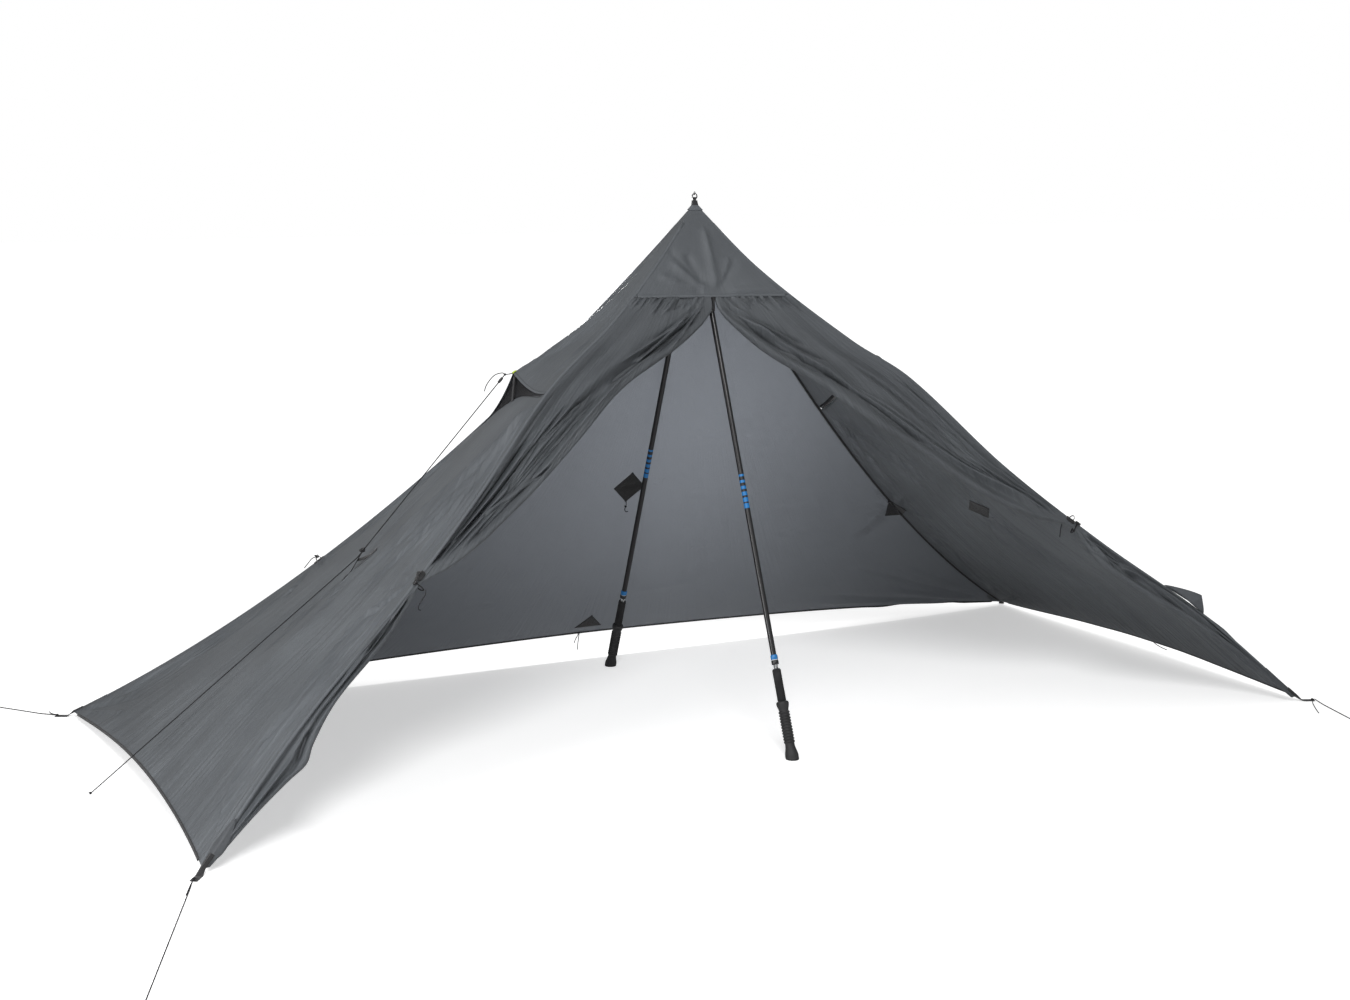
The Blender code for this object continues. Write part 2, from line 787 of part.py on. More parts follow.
def square(height, half):
    return [Vector((corner[0] * half, corner[1] * half, height)) for corner in CORNERS]


def peak_cap():
    inner = COVER_INNER + 0.0002
    outer = inner + CAP_COVER
    rings = [square(CAP_SHOULDER + 0.004, CAP_HALF * 0.4), corner_ring(CAP_SHOULDER, inner),
             corner_ring(CAP_BOTTOM, inner), corner_ring(CAP_BOTTOM, outer),
             corner_ring(CAP_SHOULDER, outer), square(CAP_TOP - 0.003, CAP_HALF), square(CAP_TOP, CAP_HALF)]
    cap = loft("peak_cap", rings, BLACK_WEBBING, smooth=False)
    low, high = CAP_TOP - LUG_ROOT, LUG_HEIGHT + LUG_OVER
    lug = block(UP * (low + high) / 2, (LUG_THICKNESS, LUG_WIDTH, high - low))
    hole = rod(UP * LUG_HEIGHT, LUG_EYE, 4 * LUG_THICKNESS, Vector((1, 0, 0)), 20)
    boolean(lug, hole)
    boolean(cap, lug, "UNION")
    return cap


def torus(name, centre, major, minor, axis, look, around=20):
    turn = UP.rotation_difference(axis).to_matrix()
    points = []
    for k in range(around):
        angle = 2 * math.pi * k / around
        points.append(centre + turn @ Vector((major * math.cos(angle), major * math.sin(angle), 0)))
    return tube(name, points, minor, look, closed=True)


peak_cap()
torus("peak_ring", UP * (LUG_HEIGHT + RING_RADIUS), RING_RADIUS, RING_WIRE, Vector((0, 1, 0)), BLACK_PLASTIC)
torus("peak_hang_loop", UP * (LUG_HEIGHT + 2 * RING_RADIUS + LOOP_LIFT), LOOP_RADIUS, LOOP_STRAND,
      Vector((1, 0, 0)), BLACK_CORD, around=12)


def pole_cup():
    top = [Vector((p.x, p.y, CUP_TOP)) for p in corner_ring(CUP_TOP, TAPE_OUTER - 0.0005)]
    base = [Vector((p.x, p.y, CUP_BASE)) for p in corner_ring(CUP_BASE, TAPE_OUTER - 0.0005)]
    cup = loft("pole_cup", [top, base], BLACK_WEBBING, smooth=False)
    for end in (-1, 1):
        boolean(cup, ball(Vector((0, end * POLE_PIVOT_Y, CUP_BASE)), TIP_RADIUS + SEAT, 14))
    return cup


pole_cup()


# Corner straps, tie-outs and patches

STRAP_WAY = {(-1, -1): (-0.6, -0.8), (1, -1): (0.9, -0.436), (1, 1): (0.6, 0.8), (-1, 1): (-0.9, 0.436)}
STRAP_ROOT = 0.018
STRAP_NECK = 0.030
STRAP_HOLE = 0.036
STRAP_LENGTH = 0.046
STRAP_EYE = 0.0035

# How far the corner patch reaches from the ridge, as (share of the way down, metres)
CORNER_PATCH = ((0.945, 0.004), (0.962, 0.017), (0.978, 0.019), (0.990, 0.012), (1.0, 0.006))


def corner_tie_out(corner):
    """Folded patch on the cloth's corner that runs out into a flat strap with an eye."""
    inner = COVER_INNER + 0.0002
    outer = inner + PATCH_THICKNESS
    rings = [over_fold(corner, t, outer, inner, reach) for t, reach in CORNER_PATCH]
    tip = ridge_point(corner, 1.0)
    way = Vector((*STRAP_WAY[corner], 0)).normalized()
    across = Vector((-way.y, way.x, 0))
    if across.dot(fold(corner, 1.0)[2][0][1]) < 0:
        across = -across
    half = STRAP_WIDTH / 2
    for distance in (STRAP_ROOT, STRAP_NECK, STRAP_LENGTH):
        middle = Vector((tip.x, tip.y, 0)) + way * distance
        high = UP * STRAP_THICKNESS
        rings.append([middle + high + across * half, middle + high, middle + high - across * half,
                      middle - across * half, middle, middle + across * half])
    strap = loft(corner_label(corner) + "_corner_tie_out", rings, BLACK_WEBBING, smooth=False)
    eye = Vector((tip.x, tip.y, 0)) + way * STRAP_HOLE
    boolean(strap, rod(eye, STRAP_EYE, STRAP_LENGTH, UP, 16))
    return strap


for corner in CORNERS:
    corner_tie_out(corner)


def arch_points(base, along, out, half, height, sunk):
    """Points of an arch that stands on a base point."""
    points = [base - along * half - out * sunk]
    for k in spread(0, math.pi, 6):
        points.append(base - along * (half * math.cos(k)) + out * (height * math.sin(k)))
    points.append(base + along * half - out * sunk)
    return points


ARCH_RADIUS = 0.0012
ARCH_SUNK = 0.0008
RIDGE_ARCH_HALF = 0.006
RIDGE_ARCH = 0.009
SIDE_ARCH_HALF = 0.007
SIDE_ARCH = 0.010
FRONT_TIE_REACH = 0.011
REAR_TIE_REACH = 0.014
FRONT_TIE_HALF = 0.0063
REAR_TIE_HALF = 0.0073


def ridge_tie_out(corner, t, half, reach):
    """Patch bent over a ridge, half a patch of shares each way from its middle, with a small loop on it."""
    shares = [t - half, t - half * 0.7, t + half * 0.7, t + half]
    inner = COVER_INNER + 0.0003
    outer = inner + PATCH_THICKNESS
    name = corner_label(corner) + "_ridge_tie_out"
    reaches = [reach * 0.7, reach, reach, reach * 0.7]
    patch = ridge_strip(name, corner, shares, reaches, inner, outer, BLACK_WEBBING)
    point, down, sides = fold(corner, t)
    out = (sides[0][0] + sides[1][0]).normalized()
    base = folded(corner, t, outer)
    points = arch_points(base, down, out, RIDGE_ARCH_HALF, RIDGE_ARCH, ARCH_SUNK)
    arch = tube("arch", points, ARCH_RADIUS, BLACK_WEBBING)
    boolean(patch, arch, "UNION")
    return patch


for side in (-1, 1):
    ridge_tie_out((side, -1), FRONT_TIE, FRONT_TIE_HALF, FRONT_TIE_REACH)
    ridge_tie_out((side, 1), REAR_TIE, REAR_TIE_HALF, REAR_TIE_REACH)


INNER_DIAMOND = 0.040
INNER_DIAMOND_SHARE = 0.023


def rear_inner_patch(corner):
    """Diamond of webbing folded into the rear ridge from inside, over the seam tape."""
    outer = TAPE_OUTER - TAPE_THICKNESS - GAP
    inner = outer - PATCH_THICKNESS
    shares = [REAR_TIE + INNER_DIAMOND_SHARE * v for v in (-1, -0.48, 0, 0.48, 1)]
    reaches = [INNER_DIAMOND * v for v in (0.075, 0.525, 1, 0.525, 0.075)]
    name = corner_label(corner) + "_inner_patch"
    return ridge_strip(name, corner, shares, reaches, inner, outer, BLACK_WEBBING)


for side in (-1, 1):
    rear_inner_patch((side, 1))


PATCH_ROWS = 6
PATCH_PROBE = 0.005
PROBE_FROM = 0.05


def laid_patch(name, tree, middle, across, upward, normal, outline):
    """Patch laid on a cloth: outline(v) gives the half width at v from -1 to 1 along upward."""
    lines = []
    for v in spread(1, -1, PATCH_ROWS):
        line = []
        for u in spread(-1, 1, PATCH_ROWS - 1):
            place = middle + upward * v + across * (u * outline(v))
            nearby = [(0, 0), (PATCH_PROBE, 0), (-PATCH_PROBE, 0), (0, PATCH_PROBE), (0, -PATCH_PROBE)]
            heights = []
            for a, b in nearby:
                probe = place + across.normalized() * a + upward.normalized() * b
                location, _ = met(tree, probe + normal * PROBE_FROM, -normal)
                heights.append((location - probe).dot(normal))
            line.append(place + normal * (max(heights) + SEAT + PATCH_THICKNESS / 2))
        lines.append(line)
    return sheet(name, lines, BLACK_WEBBING, PATCH_THICKNESS)


def diamond(v):
    return max(1 - abs(v), 0.08)


MID_DIAMOND = 0.042
SIDE_PATCH_HALF_WIDTH = 0.026
SIDE_PATCH_HALF_HEIGHT = 0.030
for side in (-1, 1):
    surface = side_surface(side)
    middle = surface(SIDE_MID_TIE, 0)
    normal = outward(surface, SIDE_MID_TIE, 0)
    across = Vector((0, 1, 0))
    upward = normal.cross(across).normalized()
    tree = side_tree[side]
    outer_patch = laid_patch(SIDE_NAME[side] + "_side_tie_out", tree, middle, across * SIDE_PATCH_HALF_WIDTH,
                             upward * SIDE_PATCH_HALF_HEIGHT, normal, diamond)
    under = met(side_tree[side], middle + normal * PROBE_FROM, -normal)[0]
    base = under + normal * (SEAT + PATCH_THICKNESS)
    points = arch_points(base, upward, normal, SIDE_ARCH_HALF, SIDE_ARCH, ARCH_SUNK)
    loop = tube("arch", points, ARCH_RADIUS, BLACK_WEBBING)
    boolean(outer_patch, loop, "UNION")
    laid_patch(SIDE_NAME[side] + "_side_inner_patch", side_tree[side], middle, across * MID_DIAMOND,
               upward * MID_DIAMOND, -normal, diamond)

REAR_MIDDLE = -0.020
REAR_DIAMOND = 0.047
REAR_DIAMOND_HEIGHT = 0.4115 * PEAK_HEIGHT
HEM_PATCH_HALF_WIDTH = 0.042
HEM_PATCH_HALF_HEIGHT = 0.024
HEM_PATCH_RISE = 0.0384


def rear_patch(name, height, half_width, half_height, outline):
    """Patch on the inside of the rear cloth, in the cloth's own slope at its height."""
    place, facing = met(rear_tree, Vector((REAR_MIDDLE, 0, height)), Vector((0, 1, 0)))
    upward = Vector((1, 0, 0)).cross(facing).normalized()
    if upward.z < 0:
        upward = -upward
    across = Vector((half_width, 0, 0))
    return laid_patch(name, rear_tree, place, across, upward * half_height, facing, outline)


def wedge(v):
    return max((1 - v) / 2, 0.08)


rear_patch("rear_mid_patch", REAR_DIAMOND_HEIGHT, REAR_DIAMOND, REAR_DIAMOND, diamond)
rear_patch("rear_hem_patch", rear_surface(rear_hem(0), 0).z + HEM_PATCH_RISE, HEM_PATCH_HALF_WIDTH,
           HEM_PATCH_HALF_HEIGHT, wedge)


# Door ties and zip pull

DOOR_TIE = 0.622
TIE_RADIUS = 0.0015
TIE_SLACK = 0.0042
TOGGLE_RADIUS = 0.0035
TOGGLE_LENGTH = 0.015
TIE_LIFT = 0.0030
ZIP_AT = 0.15574
ZIP_BARREL = 0.0015
ZIP_BARREL_LENGTH = 0.008
ZIP_LIFT = 0.0011
ZIP_PULL_LENGTH = 0.034
ZIP_PULL_WIDTH = 0.0060
ZIP_PULL_THICKNESS = 0.0016
ZIP_EYE = 0.0015
ZIP_EYE_INSET = 0.004


def door_tie(side):
    """Elastic cord round the gathered door, with a small toggle where it starts on the ridge."""
    corner = (side, -1)
    point, down, sides = fold(corner, DOOR_TIE)
    which = 0 if abs(sides[0][0].x) < 0.2 else 1
    normal, inward = sides[which]
    width, radius = flap_size(side, DOOR_TIE)
    reach = width + TIE_SLACK
    low = -2 * radius - TIE_SLACK
    section = [(0.0, TIE_LIFT), (0.35 * width, 0.8 * TIE_LIFT), (0.8 * width, 0.93 * TIE_LIFT),
               (reach - 0.001, -TIE_LIFT / 6), (reach, -radius), (width, low + 0.001),
               (0.65 * width, low), (0.35 * width, low)]
    path = route([point + inward * u + normal * w for u, w in section], 2)
    tie = tube(SIDE_NAME[side] + "_door_tie", path, TIE_RADIUS, BLACK_CORD)
    seat = point + inward * 0.001 + normal * (TIE_LIFT + TIE_RADIUS * 0.4 + TOGGLE_RADIUS * 0.7)
    toggle = rod(seat, TOGGLE_RADIUS, TOGGLE_LENGTH, down, 12)
    boolean(tie, toggle, "UNION")
    return tie


for side in (-1, 1):
    door_tie(side)

zip_top = facet_point(FRONT, ZIP_AT, 0) + outward(flat_of(FRONT), ZIP_AT, 0) * ZIP_LIFT
pull = rod(zip_top, ZIP_BARREL, ZIP_BARREL_LENGTH, Vector((1, 0, 0)), 12)
tab = block(zip_top - UP * ZIP_PULL_LENGTH / 2, (ZIP_PULL_WIDTH, ZIP_PULL_THICKNESS, ZIP_PULL_LENGTH))
zip_eye = zip_top - UP * (ZIP_PULL_LENGTH - ZIP_EYE_INSET)
boolean(tab, rod(zip_eye, ZIP_EYE, 6 * ZIP_PULL_THICKNESS, Vector((0, 1, 0)), 12))
boolean(pull, tab, "UNION")
finish(pull, "zip_pull", BLACK_PLASTIC, smooth=False)


# Guylines

CORD_FLOOR = CORD_RADIUS + GAP
CORD_START = STRAP_HOLE + 0.0050
LANDING = 0.05
VENT_KNOT_OUT = 0.022
VENT_KNOT_DROP = 0.003
CORNER_PEG = {(-1, -1): FRONT_LEFT_PEG, (-1, 1): REAR_LEFT_PEG, (1, -1): FRONT_RIGHT_PEG}
VENT_PEG = {-1: LEFT_VENT_PEG, 1: RIGHT_VENT_PEG}


def straight(first, last, count):
    return [first.lerp(last, k) for k in spread(0, 1, count)]


for side in (-1, 1):
    surface = side_surface(side)
    lift = CLOTH / 2 + SEAT + PATCH_THICKNESS + SIDE_ARCH + ARCH_RADIUS + SEAT + CORD_RADIUS
    tie = surface(SIDE_MID_TIE, 0) + outward(surface, SIDE_MID_TIE, 0) * lift
    edge = hood_surface(side)(hood_edge(0), 0)
    start = edge + Vector((side * VENT_KNOT_OUT, 0, -VENT_KNOT_DROP))
    aside, ahead = VENT_PEG[side]
    peg = Vector((side * HALF_WIDTH + aside, ahead, CORD_FLOOR))
    points = straight(start, tie, 6) + straight(tie, peg, 8)[1:]
    tube(SIDE_NAME[side] + "_vent_guyline", points, CORD_RADIUS, BLACK_CORD)

for corner, (aside, ahead) in CORNER_PEG.items():
    tip = ridge_point(corner, 1.0)
    peg = Vector((tip.x + aside, tip.y + ahead, CORD_FLOOR))
    way = Vector((*STRAP_WAY[corner], 0)).normalized()
    base = Vector((tip.x, tip.y, 0))
    start = base + way * CORD_START + UP * (STRAP_THICKNESS + SEAT + CORD_RADIUS)
    over = base + way * (STRAP_LENGTH + CORD_RADIUS) + UP * (STRAP_THICKNESS + SEAT + CORD_RADIUS)
    landed = over + (peg - over).normalized() * LANDING
    landed.z = CORD_FLOOR
    points = [start] + straight(over, landed, 2) + straight(landed, peg, 6)[1:]
    tube(corner_label(corner) + "_guyline", points, CORD_RADIUS, BLACK_CORD)


# Trekking poles

def grip_profile():
    """Pommel, ribbed handle and flared top, from the base centre outwards and up."""
    profile = [(0.0, -POMMEL_SINK), (POMMEL_RADIUS * 0.86, -POMMEL_SINK), (POMMEL_RADIUS, 0.004),
               (POMMEL_RADIUS, 0.012), (POMMEL_RADIUS * 0.84, 0.022), (GRIP_RADIUS, 0.032)]
    pitch = (RIBS_END - RIBS_START) / RIB_COUNT
    for k in range(RIB_COUNT):
        base = RIBS_START + pitch * k
        profile += [(GRIP_RADIUS, base), (GRIP_RADIUS + RIB_DEPTH, base + pitch * 0.35),
                    (GRIP_RADIUS + RIB_DEPTH, base + pitch * 0.65)]
    profile += [(GRIP_RADIUS, RIBS_END), (FLARE_RADIUS, GRIP_END - 0.012), (FLARE_RADIUS, GRIP_END - 0.004),
                (FOAM_RADIUS, GRIP_END), (0.0, GRIP_END)]
    return profile


def foam_profile():
    bore = TUBE_RADIUS + TUBE_FIT
    base = GRIP_END + GAP
    return [(bore, base), (FOAM_RADIUS, base), (FOAM_RADIUS, FOAM_END - 0.004),
            (FOAM_RADIUS * 0.82, FOAM_END), (bore, FOAM_END), (bore, base)]


def collar_profile():
    """Collar with a groove round it and a blind bore for the inner tube."""
    bore = TUBE_RADIUS + TUBE_FIT
    groove = COLLAR_RADIUS * 0.88
    upper = COLLAR_RADIUS * 0.97
    return [(bore, COLLAR_START), (groove, COLLAR_START), (COLLAR_RADIUS, COLLAR_START + 0.002),
            (COLLAR_RADIUS, COLLAR_GROOVE - 0.0005), (groove, COLLAR_GROOVE),
            (groove, COLLAR_GROOVE + 0.001), (upper, COLLAR_GROOVE + 0.0015),
            (upper, COLLAR_END - 0.001), (groove, COLLAR_END), (0.0, COLLAR_END),
            (0.0, COLLAR_BORE), (bore, COLLAR_BORE), (bore, COLLAR_START)]


def shaft_profile(length):
    """Plain shaft with a tapered ferrule and a ball end on the pivot."""
    neck = TIP_RADIUS * 0.72
    ferrule = length - FERRULE_LENGTH
    profile = [(0.0, COLLAR_END + GAP), (SHAFT_RADIUS, COLLAR_END + GAP), (SHAFT_RADIUS, ferrule),
               (SHAFT_RADIUS * 1.12, ferrule + 0.002), (SHAFT_RADIUS * 1.12, ferrule + 0.016),
               (SHAFT_RADIUS * 0.9, ferrule + 0.020), (neck * 1.3, length - 0.030), (neck, length - 0.010)]
    for angle in (-40, -10, 20, 50, 75):
        turn = math.radians(angle)
        profile.append((TIP_RADIUS * math.cos(turn), length + TIP_RADIUS * math.sin(turn)))
    profile.append((0.0, length + TIP_RADIUS))
    return profile


BUTTON_AT = (FOAM_END + COLLAR_START) / 2
BUTTON_BOTTOM = 0.0010
TUBE_BASE = GRIP_END + 0.0145


def cut_at_floor(obj):
    """Flat foot where the leaning pole stands on the ground."""
    work = bmesh.new()
    work.from_mesh(obj.data)
    geometry = work.verts[:] + work.edges[:] + work.faces[:]
    cut = bmesh.ops.bisect_plane(work, geom=geometry, plane_co=(0, 0, 0), plane_no=-UP, clear_outer=True)
    edges = [item for item in cut["geom_cut"] if isinstance(item, bmesh.types.BMEdge)]
    bmesh.ops.contextual_create(work, geom=edges)
    bmesh.ops.recalc_face_normals(work, faces=work.faces)
    work.to_mesh(obj.data)
    work.free()


def pole(end):
    """One pole standing on its pommel, its ball end in the cup under the peak."""
    label = END_NAME[end]
    foot = Vector((0, end * POLE_FOOT, 0))
    pivot = Vector((0, end * POLE_PIVOT_Y, CUP_BASE))
    length = (pivot - foot).length
    placed = Matrix.Translation(foot) @ UP.rotation_difference(pivot - foot).to_matrix().to_4x4()
    grip = lathe(label + "_pole_grip", grip_profile(), BLACK_RUBBER, 14)
    foam = lathe(label + "_pole_foam", foam_profile(), BLACK_FOAM, 14)
    collar = lathe(label + "_pole_collar", collar_profile(), BLACK_PLASTIC, 14)
    shaft = lathe(label + "_pole_shaft", shaft_profile(length), CARBON, 14)
    tube_top = COLLAR_BORE - 0.0005
    inner = rod(Vector((0, 0, (TUBE_BASE + tube_top) / 2)), TUBE_RADIUS, tube_top - TUBE_BASE, UP, 14)
    out = Vector((0, -1, 0))
    hole_from = BUTTON_BOTTOM - BUTTON_REACH - BUTTON_FIT
    hole_to = TUBE_RADIUS * 2
    boolean(inner, rod(UP * BUTTON_AT + out * (hole_from + hole_to) / 2, BUTTON_RADIUS + BUTTON_FIT,
                       hole_to - hole_from, out, 16))
    finish(inner, label + "_pole_tube", SILVER)
    button_top = TUBE_RADIUS + BUTTON_REACH
    button_middle = UP * BUTTON_AT + out * (BUTTON_BOTTOM + button_top) / 2
    button = rod(button_middle, BUTTON_RADIUS, button_top - BUTTON_BOTTOM, out, 12)
    edge = button.modifiers.new("edge", "BEVEL")
    edge.width = 0.0005
    edge.segments = 2
    edge.limit_method = "ANGLE"
    finish(baked(button), label + "_pole_button", SILVER)
    hinge = bpy.data.objects.new(label + "_pole_pivot", None)
    hinge.location = pivot
    parts.objects.link(hinge)
    for piece in (grip, foam, collar, shaft, inner, button):
        piece.data.transform(placed)
        piece.data.update()
        piece.parent = hinge
        piece.matrix_parent_inverse = Matrix.Translation(-pivot)
    cut_at_floor(grip)


for end in (-1, 1):
    pole(end)
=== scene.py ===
"""Looks of the pyramid tarp: creased cloth, seams, tie-outs, knotted cords and two trekking poles."""

import math
import random

import bpy
import numpy as np
from mathutils import Matrix, Vector
from mathutils.bvhtree import BVHTree


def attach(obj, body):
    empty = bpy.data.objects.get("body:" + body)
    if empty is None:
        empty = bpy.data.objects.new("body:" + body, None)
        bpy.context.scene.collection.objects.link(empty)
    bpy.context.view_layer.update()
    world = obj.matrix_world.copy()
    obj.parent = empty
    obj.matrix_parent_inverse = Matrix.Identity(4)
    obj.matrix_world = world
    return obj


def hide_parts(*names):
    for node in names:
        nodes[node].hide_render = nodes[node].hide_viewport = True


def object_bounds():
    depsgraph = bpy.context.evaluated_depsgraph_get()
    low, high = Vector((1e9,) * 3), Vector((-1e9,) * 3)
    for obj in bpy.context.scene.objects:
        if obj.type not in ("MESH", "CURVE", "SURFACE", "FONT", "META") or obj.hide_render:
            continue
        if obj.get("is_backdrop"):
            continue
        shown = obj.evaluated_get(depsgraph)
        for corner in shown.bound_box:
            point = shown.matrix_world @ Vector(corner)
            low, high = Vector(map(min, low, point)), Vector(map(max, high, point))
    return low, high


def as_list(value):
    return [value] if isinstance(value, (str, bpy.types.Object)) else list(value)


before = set(bpy.data.objects)
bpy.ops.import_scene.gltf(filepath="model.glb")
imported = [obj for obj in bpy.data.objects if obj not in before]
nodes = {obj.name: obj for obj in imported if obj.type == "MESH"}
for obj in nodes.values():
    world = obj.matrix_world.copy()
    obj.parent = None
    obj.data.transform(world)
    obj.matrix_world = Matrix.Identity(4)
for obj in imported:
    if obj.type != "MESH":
        bpy.data.objects.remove(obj)
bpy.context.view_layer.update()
bpy.ops.object.select_all(action="DESELECT")


# Camera

CAMERA_PLACE = (-2.388, -4.573, 1.418)
CAMERA_TURN = (math.pi / 2 - 0.1669, 0.0, -0.4718)
CAMERA_LENS = 54.64

camera = bpy.data.objects.new("camera", bpy.data.cameras.new("camera"))
camera.location = CAMERA_PLACE
camera.rotation_euler = CAMERA_TURN
camera.data.lens = CAMERA_LENS
bpy.context.scene.collection.objects.link(camera)
bpy.context.scene.camera = camera


# Sizes of the canopy, in metres

PEAK_HEIGHT = 1.300
HALF_WIDTH = 1.450
HALF_DEPTH = 0.655
CORNER_HEIGHT = 0.012
CLOTH = 0.0008
CLOTH_TOP = 0.008
SEAM_STRIP = 0.007
PEAK_TAUT = 0.045
FRONT_SAG = {
    -1: [(0, 0), (0.10, 0.0185), (0.20, 0.0146), (0.345, -0.0185), (0.50, 0), (0.66, 0), (0.84, -0.0169),
         (1, 0)],
    1: [(0, 0), (0.10, 0.0246), (0.25, 0.0169), (0.345, -0.0031), (0.50, 0.0185), (0.66, 0.0123),
        (0.84, -0.0108), (1, 0)],
}
REAR_SAG = 0.100
SIDE_SWELL = 0.012
SIDE_CREASE = 0.010
REAR_SWELL = 0.020
REAR_MIDDLE_SWELL = 0.007
REAR_RIGHT_HOLLOW = 0.008
REAR_LEFT_HOLLOW = 0.006
FRONT_SWELL = 0.004
DOOR_TOP = 0.152
VENT_CORNER = 0.350
HOOD_EDGE = 0.340
HOOD_LIFT = 0.083
VENT_SILL = 0.0205
VENT_GAP = 0.0025
SIDE_HEM_RISE = 0.022
REAR_HEM_RISE = 0.062
FRONT_TIE = 0.612
REAR_TIE = 0.600
SIDE_MID_TIE = 0.606
DOOR_TIE = 0.622
CORD_RADIUS = 0.00125
CORD_FLOOR = 0.00155

FRONT = ((-1, -1), (1, -1))
RIGHT = ((1, -1), (1, 1))
REAR = ((1, 1), (-1, 1))
LEFT = ((-1, 1), (-1, -1))
SIDE_FACET = {-1: LEFT, 1: RIGHT}
CORNERS = [(-1, -1), (1, -1), (1, 1), (-1, 1)]
SIDE_NAME = {-1: "left", 1: "right"}
END_NAME = {-1: "front", 1: "rear"}
UP = Vector((0, 0, 1))


def smooth_curve(knots, t):
    """Value at t of a smooth curve through the knots."""
    last = len(knots) - 1
    i = 0
    while i < last - 1 and t > knots[i + 1][0]:
        i += 1

    def slope(k):
        before = knots[max(k - 1, 0)]
        after = knots[min(k + 1, last)]
        return (after[1] - before[1]) / (after[0] - before[0])

    (t0, v0), (t1, v1) = knots[i], knots[i + 1]
    span = t1 - t0
    u = min(max((t - t0) / span, 0.0), 1.0)
    start = (2 * u**3 - 3 * u**2 + 1) * v0 + (u**3 - 2 * u**2 + u) * span * slope(i)
    end = (-2 * u**3 + 3 * u**2) * v1 + (u**3 - u**2) * span * slope(i + 1)
    return start + end


def ease(low, high, value):
    """0 below low, 1 above high, smooth between."""
    u = min(max((value - low) / (high - low), 0.0), 1.0)
    return u * u * (3 - 2 * u)


def spread(low, high, count):
    """count + 1 even steps from low to high."""
    return [low + (high - low) * i / count for i in range(count + 1)]


# Canopy surfaces

def ridge_point(corner, t):
    """Point on a ridge, t = 0 at the peak and 1 at the corner."""
    side, end = corner
    sag = REAR_SAG * 4 * t * (1 - t) if end > 0 else smooth_curve(FRONT_SAG[side], t)
    height = CORNER_HEIGHT + (PEAK_HEIGHT - CORNER_HEIGHT) * (1 - t) - sag * PEAK_HEIGHT
    return Vector((side * HALF_WIDTH * t, end * HALF_DEPTH * t, height))


def facet_point(facet, t, s):
    """Point of the flat cloth between two ridges, s from -1 at the first ridge to 1 at the second."""
    return ridge_point(facet[0], t).lerp(ridge_point(facet[1], t), (s + 1) / 2)


def facet_half(facet, t):
    return max((ridge_point(facet[1], t) - ridge_point(facet[0], t)).length / 2, 1e-6)


def outward(surface, t, s):
    """Unit normal of a surface, away from the inside."""
    step = 0.002
    low_t = min(max(t, step), 1 - step)
    low_s = min(max(s, step - 1), 1 - step)
    down = surface(low_t + step, low_s) - surface(low_t - step, low_s)
    across = surface(low_t, low_s + step) - surface(low_t, low_s - step)
    return down.cross(across).normalized()


def flat_of(facet):
    return lambda t, s: facet_point(facet, t, s)


def side_surface(side):
    """Lower side cloth, with the pull of the mid tie-out and the main creases that run to it."""
    facet = SIDE_FACET[side]

    def crease(t, s, t0, s0, t1, s1, width, height):
        way = Vector((t1 - t0, s1 - s0))
        here = Vector((t - t0, s - s0))
        along = min(max(here.dot(way) / way.length_squared, 0.0), 1.0)
        away = (here - way * along).length
        ends = math.sin(math.pi * min(max(along, 0.04), 0.96))
        return height * ends * math.exp(-(away / width) ** 2)

    def surface(t, s):
        front = -side * s
        calm = (1 - s * s) ** 2
        lift = SIDE_SWELL * calm
        lift += calm * crease(t, front, 0.36, 0.80, 0.60, 0.02, 0.07, 1.2 * SIDE_CREASE)
        lift += calm * crease(t, front, 0.60, 0.00, 0.95, 0.45, 0.09, SIDE_CREASE)
        lift -= calm * crease(t, front, 0.42, -0.10, 0.92, -0.20, 0.12, 0.8 * SIDE_CREASE)
        lift += calm * crease(t, front, 0.36, -0.60, 0.60, -0.02, 0.08, 0.9 * SIDE_CREASE)
        return facet_point(facet, t, s) + outward(flat_of(facet), t, s) * lift

    return surface


def side_hem(s):
    return 1 - SIDE_HEM_RISE * (1 - s * s)


def rear_hem(s):
    return 1 - REAR_HEM_RISE * (1 - abs(s) ** 3.5)


def hood_edge(s):
    return HOOD_EDGE + (VENT_CORNER - HOOD_EDGE) * s * s


def sill(s):
    return VENT_CORNER + VENT_GAP - VENT_SILL * (1 - s * s) ** 2


def hood_surface(side):
    facet = SIDE_FACET[side]

    def surface(t, s):
        grown = (max(t - CLOTH_TOP, 0) / (HOOD_EDGE - CLOTH_TOP)) ** 2
        return facet_point(facet, t, s) + UP * (HOOD_LIFT * (1 - abs(s)) ** 2 * grown)

    return surface


def rear_surface(t, s):
    calm = (1 - s * s) ** 2 * ease(PEAK_TAUT, 2 * PEAK_TAUT, t)
    swell = math.sin(math.pi * t)
    lift = REAR_SWELL * calm * t + REAR_MIDDLE_SWELL * calm * math.exp(-((s / 0.16) ** 2)) * swell
    lift -= REAR_RIGHT_HOLLOW * calm * math.exp(-(((s - 0.42) / 0.2) ** 2)) * swell
    lift -= REAR_LEFT_HOLLOW * calm * math.exp(-(((s + 0.40) / 0.2) ** 2)) * swell
    return facet_point(REAR, t, s) + outward(flat_of(REAR), t, s) * lift


def front_surface(t, s):
    calm = (1 - s * s) ** 2 * ease(PEAK_TAUT, 2 * PEAK_TAUT, t)
    lift = FRONT_SWELL * calm * math.sin(math.pi * t / DOOR_TOP)
    return facet_point(FRONT, t, s) + outward(flat_of(FRONT), t, s) * lift


def corner_label(corner):
    return END_NAME[corner[1]] + "_" + SIDE_NAME[corner[0]]


# Finishes

